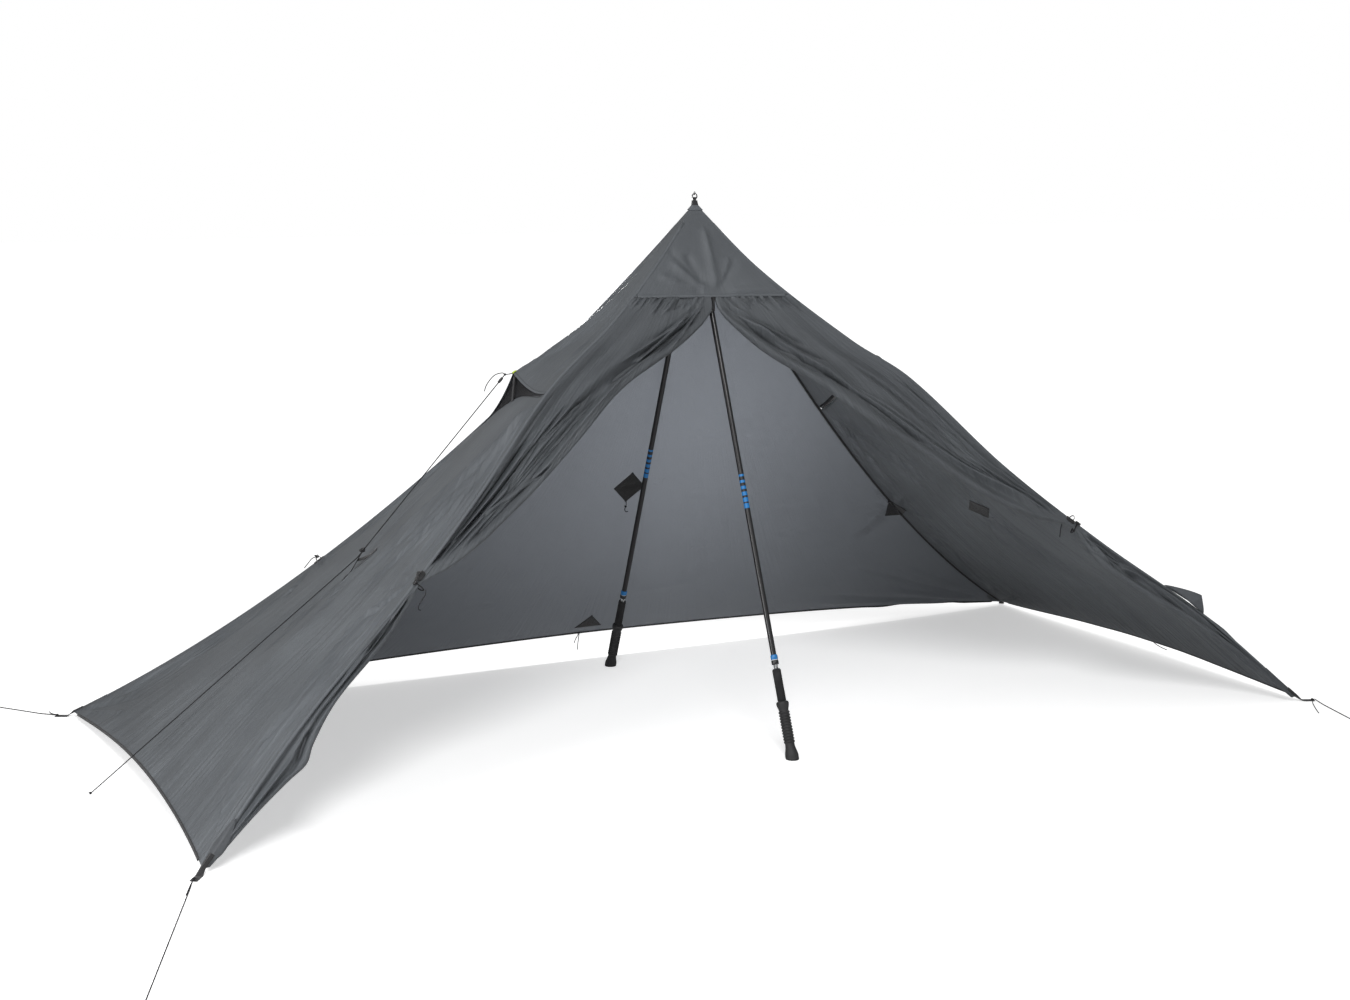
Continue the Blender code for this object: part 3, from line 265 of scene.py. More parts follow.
def fill(tree, node, values):
    """Set a node's inputs: a socket is linked to its input, any other value is kept in it."""
    for label, value in values.items():
        if isinstance(value, bpy.types.NodeSocket):
            tree.links.new(value, node.inputs[label])
        else:
            node.inputs[label].default_value = value
    return node


def new_node(tree, kind, values):
    return fill(tree, tree.nodes.new("ShaderNode" + kind), values)


def finish_material(name, colour, roughness, specular=0.5, coat=0.0, sheen=0.0, metallic=0.0):
    """Material with its even values set, and its node tree and shader to build on."""
    made = bpy.data.materials.new(name)
    made.use_nodes = True
    tree = made.node_tree
    shader = fill(tree, tree.nodes["Principled BSDF"], {
        "Base Color": (*colour, 1.0), "Roughness": roughness, "Metallic": metallic,
        "Specular IOR Level": specular, "Coat Weight": coat, "Sheen Weight": sheen})
    return made, tree, shader


def noise(tree, source, scale, detail=3.0, roughness=0.5):
    values = {"Scale": scale, "Detail": detail, "Roughness": roughness, "Vector": source}
    return new_node(tree, "TexNoise", values).outputs["Fac"]


def threads(tree, source, direction, period):
    """Bands across one direction, one for each period in metres."""
    made = new_node(tree, "TexWave", {"Scale": math.pi / 10 / period, "Vector": source})
    made.bands_direction = direction
    return made.outputs["Fac"]


def mapping(tree, source, scale=(1, 1, 1), turn=(0, 0, 0)):
    values = {"Scale": scale, "Rotation": turn, "Vector": source}
    return new_node(tree, "Mapping", values).outputs["Vector"]


def worked(tree, operation, first, second):
    """Two numbers or sockets put together by one operation."""
    made = tree.nodes.new("ShaderNodeMath")
    made.operation = operation
    return fill(tree, made, {0: first, 1: second}).outputs[0]


def ranged(tree, factor, low, high, start=0.0, end=1.0):
    """Factor from start to end carried to low and high."""
    values = {"From Min": start, "From Max": end, "To Min": low, "To Max": high, "Value": factor}
    return new_node(tree, "MapRange", values)


def tint(tree, factor, low, high, low_at=0.0, high_at=1.0):
    """Colour from low to high as the factor rises."""
    made = new_node(tree, "ValToRGB", {"Fac": factor})
    for stop, colour, place in zip(made.color_ramp.elements, (low, high), (low_at, high_at)):
        stop.color = (*colour, 1.0)
        stop.position = place
    return made.outputs["Color"]


def bump(tree, height, distance, strength=1.0, under=None):
    made = new_node(tree, "Bump", {"Distance": distance, "Strength": strength, "Height": height})
    if under is not None:
        fill(tree, made, {"Normal": under})
    return made.outputs["Normal"]


def roughness_range(tree, factor, low, high):
    return ranged(tree, factor, low, high).outputs["Result"]


def object_place(tree):
    return tree.nodes.new("ShaderNodeTexCoord").outputs["Object"]


def pattern_place(tree):
    """The cut's own flat coordinates, in metres."""
    made = tree.nodes.new("ShaderNodeUVMap")
    made.uv_map = "cut"
    return made.outputs["UV"]


# Colour scaled down for painted shade or up for painted highlight.
def painted_light_tone(colour, share):
    return tuple(part * share for part in colour)


CLOTH_DARK = (0.108, 0.117, 0.128)
CLOTH_LIGHT = (0.132, 0.143, 0.155)
# Painted light: the back cloth is the same fabric, painted lighter than the other panels.
BACK_PAINTED_LIGHT_LOW = (0.122, 0.131, 0.143)
BACK_PAINTED_LIGHT_HIGH = (0.146, 0.156, 0.170)
# Painted shade: share of the cloth's colour kept on the door halves.
DOOR_PAINTED_SHADE = 0.84
GLOW = (0.56, 0.58, 0.615)
GLOW_SHARE = 0.24
BACK_GLOW_SHARE = 0.37
THREAD_PITCH = 0.00045
PULL_SPREAD = 120.0
PULL_LENGTH = 1.3
PULL_START = 0.06
PULL_DEPTH = 0.0080
BACK_PULL_DEPTH = 0.0014
# Pull depth above which the streaks are painted into the colour as shade and highlight.
PAINTED_STREAK_PULL = 0.005


def pulls(tree, cut):
    """Streaks of a taut cloth, which run down from the peak and come and go, as the factor for painted shade
    and painted highlight in the colour, and the same as heights.
    """
    parts = new_node(tree, "SeparateXYZ", {"Vector": cut})
    below = worked(tree, "MAXIMUM", parts.outputs["Y"], PULL_START)
    slant = worked(tree, "DIVIDE", parts.outputs["X"], below)
    joined = new_node(tree, "CombineXYZ", {"X": worked(tree, "MULTIPLY", slant, PULL_SPREAD),
                                           "Y": worked(tree, "MULTIPLY", below, PULL_LENGTH)})
    streak_shade_and_height = noise(tree, joined.outputs["Vector"], 1.0, 4.0, 0.55)
    patchy = ranged(tree, noise(tree, cut, 4.0, 2.0), 0.62, 1.0, 0.40, 0.62)
    found = worked(tree, "MULTIPLY", streak_shade_and_height, patchy.outputs["Result"])
    return found, worked(tree, "MULTIPLY", found, below)


def coated_cloth(name, weave=True, low=CLOTH_DARK, high=CLOTH_LIGHT, pull_depth=0.0, glow=GLOW_SHARE):
    """Thin coated fabric: fine plain weave, faint crinkle, soft sheen, a little light coming through, and on
    deeply pulled cloth painted shade and painted highlight along its streaks.
    """
    made, tree, shader = finish_material(name, low, 0.50, specular=0.34, sheen=0.04)
    place, cut = object_place(tree), pattern_place(tree)
    crinkle = noise(tree, mapping(tree, place, (1.0, 1.6, 1.0)), 34.0, 5.0, 0.62)
    ripple = noise(tree, mapping(tree, place, (1.0, 2.5, 1.4), (0.3, 0.2, 0.5)), 9.0, 2.0, 0.4)
    normal = bump(tree, ripple, 0.0030, 0.8, bump(tree, crinkle, 0.0011))
    colour = tint(tree, noise(tree, place, 2.2, 4.0, 0.6), low, high, 0.3, 0.7)
    if pull_depth:
        streak_shade_and_height, heights = pulls(tree, cut)
        normal = bump(tree, heights, pull_depth, 1.0, normal)
        # Painted shade and painted highlight: the streaks darken the colour to 0.80 and lighten it to 1.06.
        if pull_depth > PAINTED_STREAK_PULL:
            colour = tint(tree, streak_shade_and_height, painted_light_tone(low, 0.80), painted_light_tone(high, 1.06), 0.22, 0.62)
    if weave:
        both_ways = [threads(tree, cut, way, THREAD_PITCH) for way in "XY"]
        normal = bump(tree, worked(tree, "MULTIPLY", *both_ways), 0.00006, 0.7, normal)
    fill(tree, shader, {"Base Color": colour, "Normal": normal, "Sheen Roughness": 0.45,
                        "Roughness": roughness_range(tree, noise(tree, place, 9.0, 4.0), 0.46, 0.58)})
    through = new_node(tree, "BsdfTranslucent", {"Color": (*GLOW, 1.0), "Normal": normal})
    both = new_node(tree, "MixShader", {0: glow, 1: shader.outputs["BSDF"], 2: through.outputs["BSDF"]})
    fill(tree, tree.nodes["Material Output"], {"Surface": both.outputs["Shader"]})
    return made


def woven_strap(name, colour, pale, period, sheen=0.15):
    """Heavy woven nylon or polyester, with ribs at the given spacing."""
    made, tree, shader = finish_material(name, colour, 0.72, specular=0.35, sheen=sheen)
    place = object_place(tree)
    turned_place = mapping(tree, place, turn=(0.5, 0.4, 0.8))
    weave = worked(tree, "MULTIPLY", *[threads(tree, turned_place, way, period) for way in "XY"])
    fuzz = noise(tree, place, 900.0, 3.0)
    fill(tree, shader, {"Base Color": tint(tree, worked(tree, "ADD", weave, fuzz), colour, pale, 0.5, 1.4),
                        "Normal": bump(tree, fuzz, 0.0001, 0.5, bump(tree, weave, period * 0.22))})
    return made


def moulded(name, colour, pale, roughness, grain, depth, specular=0.45, metallic=0.0):
    """Plastic, rubber, foam or metal with an even grain."""
    made, tree, shader = finish_material(name, colour, roughness, specular=specular, metallic=metallic)
    place = object_place(tree)
    scuffed = noise(tree, place, 38.0, 5.0, 0.65)
    fill(tree, shader, {"Base Color": tint(tree, scuffed, colour, pale, 0.42, 0.78),
                        "Roughness": roughness_range(tree, scuffed, roughness - 0.08, roughness + 0.1),
                        "Normal": bump(tree, noise(tree, place, grain, 4.0, 0.6), depth)})
    return made


CANOPY_CLOTH = coated_cloth("canopy_cloth", pull_depth=PULL_DEPTH)
# Back cloth: painted light, a lighter copy of the canopy cloth, with a larger share of light coming through.
BACK_PAINTED_LIGHT_CLOTH = coated_cloth("back_painted_light_cloth", True, BACK_PAINTED_LIGHT_LOW, BACK_PAINTED_LIGHT_HIGH, BACK_PULL_DEPTH, BACK_GLOW_SHARE)
# Door halves and the turned corner: the same cloth painted darker, 0.84 of its colour, as painted shade.
DOOR_PAINTED_SHADE_CLOTH = coated_cloth("door_cloth", True, painted_light_tone(CLOTH_DARK, DOOR_PAINTED_SHADE), painted_light_tone(CLOTH_LIGHT, DOOR_PAINTED_SHADE),
                          PULL_DEPTH)
SEAM_CLOTH = coated_cloth("seam_cloth", weave=False)
REINFORCEMENT = coated_cloth("reinforcement", False, (0.066, 0.071, 0.078), (0.082, 0.088, 0.096))
BLACK_TAPE = woven_strap("black_tape", (0.010, 0.010, 0.011), (0.022, 0.022, 0.024), 0.0009)
BLACK_WEBBING = woven_strap("black_webbing", (0.009, 0.009, 0.010), (0.024, 0.024, 0.026), 0.0014)
BLACK_CORD = woven_strap("black_cord", (0.006, 0.006, 0.007), (0.016, 0.016, 0.018), 0.0008, sheen=0.0)
YELLOW_TAB = woven_strap("yellow_tab", (0.42, 0.55, 0.03), (0.55, 0.68, 0.08), 0.0012)
BLACK_PLASTIC = moulded("black_plastic", (0.011, 0.011, 0.012), (0.020, 0.020, 0.021), 0.38, 1500.0, 0.00003)
BLACK_RUBBER = moulded("black_rubber", (0.013, 0.013, 0.014), (0.026, 0.026, 0.027), 0.62, 2600.0, 0.00006)
BLACK_FOAM = moulded("black_foam", (0.015, 0.015, 0.016), (0.032, 0.032, 0.033), 0.88, 1800.0, 0.00025, 0.25)
GREY_THREAD = moulded("grey_thread", (0.055, 0.060, 0.066), (0.075, 0.081, 0.088), 0.6, 4000.0, 0.00002)
BLACK_THREAD = moulded("black_thread", (0.014, 0.014, 0.015), (0.030, 0.030, 0.031), 0.6, 4000.0, 0.00002)
BRIGHT_METAL = moulded("bright_metal", (0.52, 0.53, 0.54), (0.60, 0.61, 0.62), 0.26, 900.0, 0.00001, 0.5, 1.0)


NET_PITCH = 0.0011


def fine_net():
    """Close-knit insect net: black threads with open cells between them."""
    made, tree, shader = finish_material("fine_net", (0.010, 0.010, 0.011), 0.75, specular=0.3)
    cut = pattern_place(tree)
    strands = worked(tree, "MAXIMUM", *[threads(tree, cut, way, NET_PITCH) for way in "XY"])
    knit = tint(tree, noise(tree, cut, 700.0), (0.008, 0.008, 0.009), (0.022, 0.022, 0.024))
    cover = ranged(tree, strands, 0.40, 0.95, 0.45, 0.60)
    fill(tree, shader, {"Base Color": knit, "Alpha": cover.outputs["Result"],
                        "Normal": bump(tree, strands, 0.0002)})
    return made


def pole_place(tree):
    """Place on an upright pole, in metres from its foot, and its height alone."""
    made = tree.nodes.new("ShaderNodeAttribute")
    made.attribute_name = "pole_map"
    place = made.outputs["Vector"]
    return place, new_node(tree, "SeparateXYZ", {"Vector": place}).outputs["Z"]


def blended(tree, factor, under, over):
    """Over colour laid on the under one by the factor."""
    made = tree.nodes.new("ShaderNodeMix")
    made.data_type = "RGBA"
    tree.links.new(factor, made.inputs["Factor"])
    for socket, colour in ((made.inputs["A"], under), (made.inputs["B"], over)):
        if isinstance(colour, tuple):
            socket.default_value = (*colour, 1.0)
        else:
            tree.links.new(colour, socket)
    return made.outputs["Result"]


POLE_BLUE = (0.012, 0.150, 0.400)
POLE_BLACK = (0.012, 0.012, 0.013)
POLE_PALE = (0.62, 0.64, 0.66)
BAND_LOW = 0.613
BAND_HIGH = 0.705
BAND_PITCH = 0.0152
BAND_GAP = 0.0012
BAND_THINNING = 0.045
BLUE_FROM = 0.2405
BLUE_LINE = 0.2390


def carbon_tube():
    """Lacquered black tube with a woven grain and a short ladder of blue bands that thins out upwards."""
    made, tree, shader = finish_material("carbon_tube", (0.010, 0.010, 0.011), 0.34, specular=0.34, coat=0.12)
    place, height = pole_place(tree)
    twill = threads(tree, mapping(tree, place, turn=(0.0, 0.6, 0.0)), "Z", 0.0022)
    tube_colour = tint(tree, twill, (0.007, 0.007, 0.008), (0.016, 0.016, 0.017), 0.2, 0.8)
    above = worked(tree, "SUBTRACT", height, BAND_LOW)
    gap = worked(tree, "ADD", worked(tree, "MULTIPLY", above, BAND_THINNING), BAND_GAP)
    band = worked(tree, "GREATER_THAN", worked(tree, "PINGPONG", above, BAND_PITCH / 2), gap)
    for limit, end in (("GREATER_THAN", BAND_LOW), ("LESS_THAN", BAND_HIGH)):
        band = worked(tree, "MULTIPLY", band, worked(tree, limit, height, end))
    fill(tree, shader, {"Base Color": blended(tree, band, tube_colour, POLE_BLUE),
                        "Roughness": roughness_range(tree, noise(tree, place, 60.0), 0.28, 0.40),
                        "Normal": bump(tree, twill, 0.00003)})
    return made


def collar_finish():
    """Black lower half, a thin pale line and a blue upper half."""
    made, tree, shader = finish_material("collar_finish", POLE_BLACK, 0.33)
    place, height = pole_place(tree)
    low = blended(tree, worked(tree, "GREATER_THAN", height, BLUE_LINE), POLE_BLACK, POLE_PALE)
    grain = noise(tree, place, 700.0)
    blue = worked(tree, "GREATER_THAN", height, BLUE_FROM)
    fill(tree, shader, {"Base Color": blended(tree, blue, low, POLE_BLUE),
                        "Roughness": roughness_range(tree, grain, 0.26, 0.40),
                        "Normal": bump(tree, grain, 0.00003)})
    return made


FINE_NET = fine_net()
CARBON_TUBE = carbon_tube()
COLLAR_FINISH = collar_finish()


# Guylines and their knots

VENT_KNOT_OUT = 0.022
VENT_KNOT_DROP = 0.003
VENT_PEG = {-1: Vector((-1.544, -0.026, CORD_FLOOR)), 1: Vector((1.560, -0.060, CORD_FLOOR))}
MID_TIE_LIFT = 0.01485
STRAP_WAY = {(-1, -1): (-0.6, -0.8), (1, -1): (0.9, -0.436), (1, 1): (0.6, 0.8), (-1, 1): (-0.9, 0.436)}
STRAP_EYE = 0.036
STRAP_END = 0.046
STRAP_TOP = 0.0025
CORNER_PEG = {
    (-1, -1): Vector((-1.700, -1.250, CORD_FLOOR)),
    (-1, 1): Vector((-1.612, 0.836, CORD_FLOOR)),
    (1, -1): Vector((1.437, -0.868, CORD_FLOOR)),
}
CORD_CLEAR = 0.0004
CORD_LANDING = 0.05
EYE_RUN = 0.005
END_KNOT_LIFT = 0.0015
KNOT_STEPS = 48
KNOT_STRAND = CORD_RADIUS * 0.8
KNOT_TURN = Matrix.Rotation(0.4, 3, "X") @ Matrix.Rotation(0.3, 3, "Y")


def linked(obj):
    bpy.context.scene.collection.objects.link(obj)
    return obj


def cord_curve(name, points, radius=CORD_RADIUS, closed=False):
    """Round cord along the points, as one spline."""
    curve = bpy.data.curves.new(name, "CURVE")
    curve.dimensions = "3D"
    curve.bevel_depth = radius
    curve.bevel_resolution = 3
    curve.use_fill_caps = not closed
    spline = curve.splines.new("POLY")
    spline.points.add(len(points) - 1)
    for target, point in zip(spline.points, points):
        target.co = (*point, 1.0)
    spline.use_cyclic_u = closed
    curve.materials.append(BLACK_CORD)
    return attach(linked(bpy.data.objects.new(name, curve)), "canopy")


def length_of(points):
    return sum((b - a).length for a, b in zip(points, points[1:]))


def straight(first, last, count):
    return [first.lerp(last, k) for k in spread(0, 1, count)]


def rounded(points, count=8):
    """Even points along a smooth curve through the given ones."""
    found = []
    spans = len(points) - 1
    for i in range(spans):
        before, start = points[max(i - 1, 0)], points[i]
        end, after = points[i + 1], points[min(i + 2, spans)]
        for k in range(count):
            u = k / count
            a = 2 * start
            b = end - before
            c = 2 * before - 5 * start + 4 * end - after
            d = 3 * start - before - 3 * end + after
            found.append((a + b * u + c * u**2 + d * u**3) / 2)
    found.append(points[-1].copy())
    return found


def corner_route(corner):
    """Line from a corner strap's eye over its end and down to its peg."""
    tip = ridge_point(corner, 1.0)
    base = Vector((tip.x, tip.y, 0))
    way = Vector((*STRAP_WAY[corner], 0)).normalized()
    above = UP * (STRAP_TOP + CORD_CLEAR + CORD_RADIUS)
    over = base + way * (STRAP_END + CORD_RADIUS) + above
    landed = over + (CORNER_PEG[corner] - over).normalized() * CORD_LANDING
    landed.z = CORD_FLOOR
    start = base + way * (STRAP_EYE + EYE_RUN) + above
    return [start] + straight(over, landed, 4) + straight(landed, CORNER_PEG[corner], 14)[1:]


def vent_route(side):
    """Line from the vent's prop over the side tie-out and down to its peg."""
    surface = side_surface(side)
    tie = surface(SIDE_MID_TIE, 0) + outward(surface, SIDE_MID_TIE, 0) * MID_TIE_LIFT
    start = hood_surface(side)(hood_edge(0), 0) + Vector((side * VENT_KNOT_OUT, 0, -VENT_KNOT_DROP))
    return straight(start, tie, 12) + straight(tie, VENT_PEG[side], 16)[1:]


def knot(name, place, size=0.0034):
    """Small tightened knot: one strand that laps itself three times."""
    points = []
    for k in range(KNOT_STEPS):
        a = 2 * math.pi * k / KNOT_STEPS
        local = Vector((math.sin(a) + 2 * math.sin(2 * a), math.cos(a) - 2 * math.cos(2 * a),
                        -math.sin(3 * a)))
        points.append(place + KNOT_TURN @ (local * (size / 3)))
    return cord_curve(name, points, KNOT_STRAND, closed=True)


guylines = {}
for side in (-1, 1):
    guylines[SIDE_NAME[side] + "_vent_guyline"] = vent_route(side)
for corner in CORNER_PEG:
    guylines[corner_label(corner) + "_guyline"] = corner_route(corner)

for name, points in guylines.items():
    line = cord_curve(name + "_cord", points)
    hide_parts(name)
    top_knot = knot(name + "_top_knot", points[0])
    end_knot = knot(name + "_end_knot", points[-1] + UP * END_KNOT_LIFT)
    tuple(points[0])
    length_of(points)


# Canopy cloth

SIDE_SLOPE = math.hypot(HALF_WIDTH, PEAK_HEIGHT - CORNER_HEIGHT)
END_SLOPE = math.hypot(HALF_DEPTH, PEAK_HEIGHT - CORNER_HEIGHT)
FOLD_RISE = 2.6
COLUMN_CROWDING = 1 / 0.6


def creased(places, folds):
    """Height of the cloth over each flat place under folds: start, end, width and height, in metres."""
    total = np.zeros(len(places))
    for start, end, width, height in folds:
        way = np.subtract(end, start)
        length = math.hypot(*way)
        here = places - np.array(start)
        along = here @ way / length**2
        away = np.abs(here @ np.array((-way[1], way[0]))) / length
        beyond = np.clip(np.maximum(-along, along - 1), 0, None) * length
        fade = np.clip(np.minimum(along, 1 - along) * 5, 0, 1)
        fade = fade * fade * (3 - 2 * fade)
        total += FOLD_RISE * height * fade / (1 + ((away + beyond) / width) ** 2) ** 1.5
    return total


def rays(seed, centre, aims, count, reach, width, height, scatter=0.03):
    """Tension folds that run out of one point towards a spread of aims, ridges and valleys in turn."""
    chance = random.Random(seed)
    found = []
    for k in range(count):
        place = (k + chance.uniform(-0.3, 0.3)) / max(count - 1, 1) * (len(aims) - 1)
        i = min(max(int(place), 0), len(aims) - 2)
        aim = np.array(aims[i]) * (1 - place + i) + np.array(aims[i + 1]) * (place - i)
        way = aim - np.array(centre)
        start = np.array(centre) + way * chance.uniform(0.02, 0.22)
        end = np.array(centre) + way * chance.uniform(*reach)
        end = end + np.array((chance.uniform(-scatter, scatter), chance.uniform(-scatter, scatter)))
        rise = height * chance.uniform(0.45, 1.0) * (1 if k % 2 else -0.8)
        found.append((tuple(start), tuple(end), width * chance.uniform(0.6, 1.4), rise))
    return found


def beside(seed, start, end, side_way, count, depth, width, height):
    """Fine folds that lie along a taut edge, nearer and shorter the further in they are."""
    chance = random.Random(seed)
    start, end, side_way = np.array(start), np.array(end), np.array(side_way)
    found = []
    for k in range(count):
        inset = side_way * (depth * (k + 0.6 + chance.uniform(-0.3, 0.3)) / count)
        low = chance.uniform(0.0, 0.45)
        high = min(low + chance.uniform(0.25, 0.6), 1.0)
        first = start + (end - start) * low + inset
        last = start + (end - start) * high + inset * chance.uniform(0.6, 1.3)
        rise = height * chance.uniform(0.4, 1.0) * (1 if k % 2 else -0.8)
        found.append((tuple(first), tuple(last), width * chance.uniform(0.7, 1.3), rise))
    return found


def deselect():
    bpy.ops.object.select_all(action="DESELECT")


def start_edit():
    """Edit mode with the whole mesh selected."""
    bpy.ops.object.mode_set(mode="EDIT")
    bpy.ops.mesh.select_all(action="SELECT")


def end_edit():
    """All faces turned outward, then object mode."""
    bpy.ops.mesh.select_all(action="SELECT")
    bpy.ops.mesh.normals_make_consistent(inside=False)
    bpy.ops.object.mode_set(mode="OBJECT")


def select_only(obj):
    deselect()
    obj.select_set(True)
    bpy.context.view_layer.objects.active = obj


def placed_grid(name, rows, cuts, look, thickness=CLOTH):
    """Sheet through rows of points, its flat cut kept as a map, given its thickness."""
    down, across = len(rows) - 1, len(rows[0]) - 1
    deselect()
    bpy.ops.mesh.primitive_grid_add(x_subdivisions=across, y_subdivisions=down, size=1)
    obj = bpy.context.object
    obj.name = obj.data.name = name
    points = np.array([tuple(p) for row in reversed(rows) for p in row], np.float32)
    flat = np.array([tuple(p) for row in reversed(cuts) for p in row], np.float32)
    obj.data.vertices.foreach_set("co", points.ravel())
    corners = np.empty(len(obj.data.loops), np.int32)
    obj.data.loops.foreach_get("vertex_index", corners)
    obj.data.uv_layers[0].name = "cut"
    obj.data.uv_layers["cut"].data.foreach_set("uv", flat[corners].ravel())
    obj.data.materials.append(look)
    obj.data.update()
    wall = obj.modifiers.new("thickness", "SOLIDIFY")
    wall.thickness = thickness
    wall.offset = 0.0
    bpy.ops.object.modifier_apply(modifier="thickness")
    start_edit()
    end_edit()
    bpy.ops.object.shade_smooth()
    deselect()
    return obj


cloth_rows = {}


def cut_cloth(name, facet, surface, slope, shares, columns, folds, top=None, bottom=None,
              look=CANOPY_CLOTH):
    """Cloth of one facet with its folds, laid in rows from the first share to the last."""
    first, last = shares[0], shares[-1]
    side = 1 if facet == RIGHT else -1
    rows, cuts, rises = [], [], []
    for share in shares:
        row, cut, rise = [], [], []
        for s in columns:
            start = top(s) if top else first
            end = bottom(s) if bottom else last
            t = start + (share - first) / (last - first) * (end - start)
            half = facet_half(facet, t)
            row.append(surface(t, s))
            rise.append(outward(surface, t, s) * ease(SEAM_STRIP, 3 * SEAM_STRIP, (1 - abs(s)) * half))
            cut.append((half * s * (-side if facet in (LEFT, RIGHT) else 1), slope * t))
        rows.append(row)
        cuts.append(cut)
        rises.append(rise)
    lift = creased(np.array([p for cut in cuts for p in cut]), folds)
    lift = lift.reshape(len(rows), len(columns))
    for row, rise, height in zip(rows, rises, lift):
        for k, point in enumerate(row):
            row[k] = point + rise[k] * float(height[k])
    cloth_rows[name] = rows
    return placed_grid(name, rows, cuts, look)


def even_columns(count):
    """Places across a facet, closer together towards both ridges."""
    return [math.copysign(1 - (1 - abs(u)) ** COLUMN_CROWDING, u) for u in spread(-1, 1, count)]


def side_place(t, front):
    """Flat place on a side cut: front is 1 at the front ridge and -1 at the rear ridge."""
    return (HALF_DEPTH * t * front, SIDE_SLOPE * t)


def side_places(*places):
    return [side_place(t, front) for t, front in places]


def side_folds(side):
    """Tension folds between the vent's corners, the tie-outs and the ground corners."""
    vent_front = side_place(0.352, 0.98)
    vent_rear = side_place(0.352, -0.98)
    front_tie = side_place(FRONT_TIE, 1.0)
    rear_tie = side_place(REAR_TIE, -1.0)
    middle = side_place(SIDE_MID_TIE, 0.0)
    front_foot = side_place(1.0, 1.0)
    rear_foot = side_place(1.0, -1.0)
    seed = 11 if side < 0 else 29
    folds = rays(seed, vent_front, [middle, side_place(0.66, 0.45), side_place(0.60, 0.9)], 13,
                 (0.5, 1.05), 0.007, 0.0042)
    folds += rays(seed + 1, vent_rear, [middle, side_place(0.62, -0.5), side_place(0.58, -0.9)], 9,
                  (0.4, 0.95), 0.008, 0.0032)
    folds += beside(seed + 2, vent_front, front_tie, (-1, 0.35), 12, 0.110, 0.0045, 0.0030)
    folds += beside(seed + 3, front_tie, front_foot, (-1, 0.35), 14, 0.135, 0.0050, 0.0030)
    folds += beside(seed + 4, vent_rear, rear_tie, (1, 0.35), 9, 0.080, 0.0055, 0.0028)
    folds += beside(seed + 5, rear_tie, rear_foot, (1, 0.35), 13, 0.130, 0.0060, 0.0026)
    folds += rays(seed + 6, front_foot, side_places((0.70, 0.98), (0.72, 0.80), (0.80, 0.4)),
                  9, (0.3, 0.8), 0.006, 0.0028)
    folds += rays(seed + 7, rear_foot, side_places((0.75, -0.98), (0.80, -0.75), (0.88, -0.3)),
                  8, (0.3, 0.8), 0.007, 0.0026)
    folds += rays(seed + 8, middle, side_places((0.75, 0.30), (0.82, 0.0), (0.74, -0.30)),
                  8, (0.3, 0.9), 0.009, 0.0028)
    folds += rays(seed + 9, front_tie, side_places((0.50, 0.60), (0.62, 0.45), (0.74, 0.6)),
                  9, (0.3, 0.9), 0.006, 0.0026)
    folds += rays(seed + 10, rear_tie, side_places((0.50, -0.60), (0.62, -0.5), (0.74, -0.6)),
                  8, (0.3, 0.9), 0.007, 0.0024)
    return folds


def rear_folds():
    """Faint folds of the back cloth: pulls at the tie-outs and long slack waves above the hem."""
    chance = random.Random(71)
    folds = []
    for way in (-1, 1):
        tie = (HALF_WIDTH * REAR_TIE * way, END_SLOPE * REAR_TIE)
        aims = [(tie[0] - way * x, tie[1] + y) for x, y in ((0.16, -0.22), (0.24, 0.0), (0.10, 0.2))]
        folds += rays(72 + way, tie, aims, 9, (0.4, 0.9), 0.008, 0.0030)
        foot = (HALF_WIDTH * way, END_SLOPE)
        aims = [(way * 0.85, END_SLOPE * 0.72), (way * 0.6, END_SLOPE * 0.88), (way * 0.5, END_SLOPE * 0.97)]
        folds += rays(82 + way, foot, aims, 8, (0.5, 1.0), 0.010, 0.0030)
    for _ in range(16):
        x = chance.uniform(-0.8, 0.8)
        y = chance.uniform(0.45, 1.25)
        length = chance.uniform(0.08, 0.22)
        slant = chance.uniform(-0.25, 0.25)
        folds.append(((x, y), (x + length, y + length * slant), 0.006, chance.choice((-1, 1)) * 0.0012))
    for x in (-0.50, -0.06, 0.46):
        folds.append(((x * 0.35, 0.40), (x * 1.1, 1.10), 0.005, 0.0014))
    return folds


def hood_folds(side):
    prop = side_place(HOOD_EDGE, 0.0)
    corners = [side_place(VENT_CORNER, 0.98), side_place(VENT_CORNER, -0.98)]
    seed = 41 if side < 0 else 43
    folds = rays(seed, prop, side_places((0.12, 0.5), (0.10, 0.0), (0.12, -0.5)), 6,
                 (0.4, 0.9), 0.010, 0.0022)
    for k, corner in enumerate(corners):
        way = 1 - 2 * k
        folds += beside(seed + 4 + k, side_place(0.06, way), corner, (-way, 0.25), 7, 0.05, 0.005, 0.0022)
    return folds


def front_folds():
    """Upper front cloth: a soft upright fold over the zip and slanting pulls from both ridges."""
    foot = (0.0, END_SLOPE * DOOR_TOP)
    folds = [((0.012, 0.045), (0.014, END_SLOPE * DOOR_TOP), 0.010, 0.0030)]
    folds += rays(51, foot, [(-0.19, 0.17), (-0.10, 0.06)], 5, (0.5, 1.0), 0.008, 0.0030)
    folds += rays(52, foot, [(0.10, 0.06), (0.19, 0.17)], 4, (0.5, 1.0), 0.009, 0.0022)
    return folds


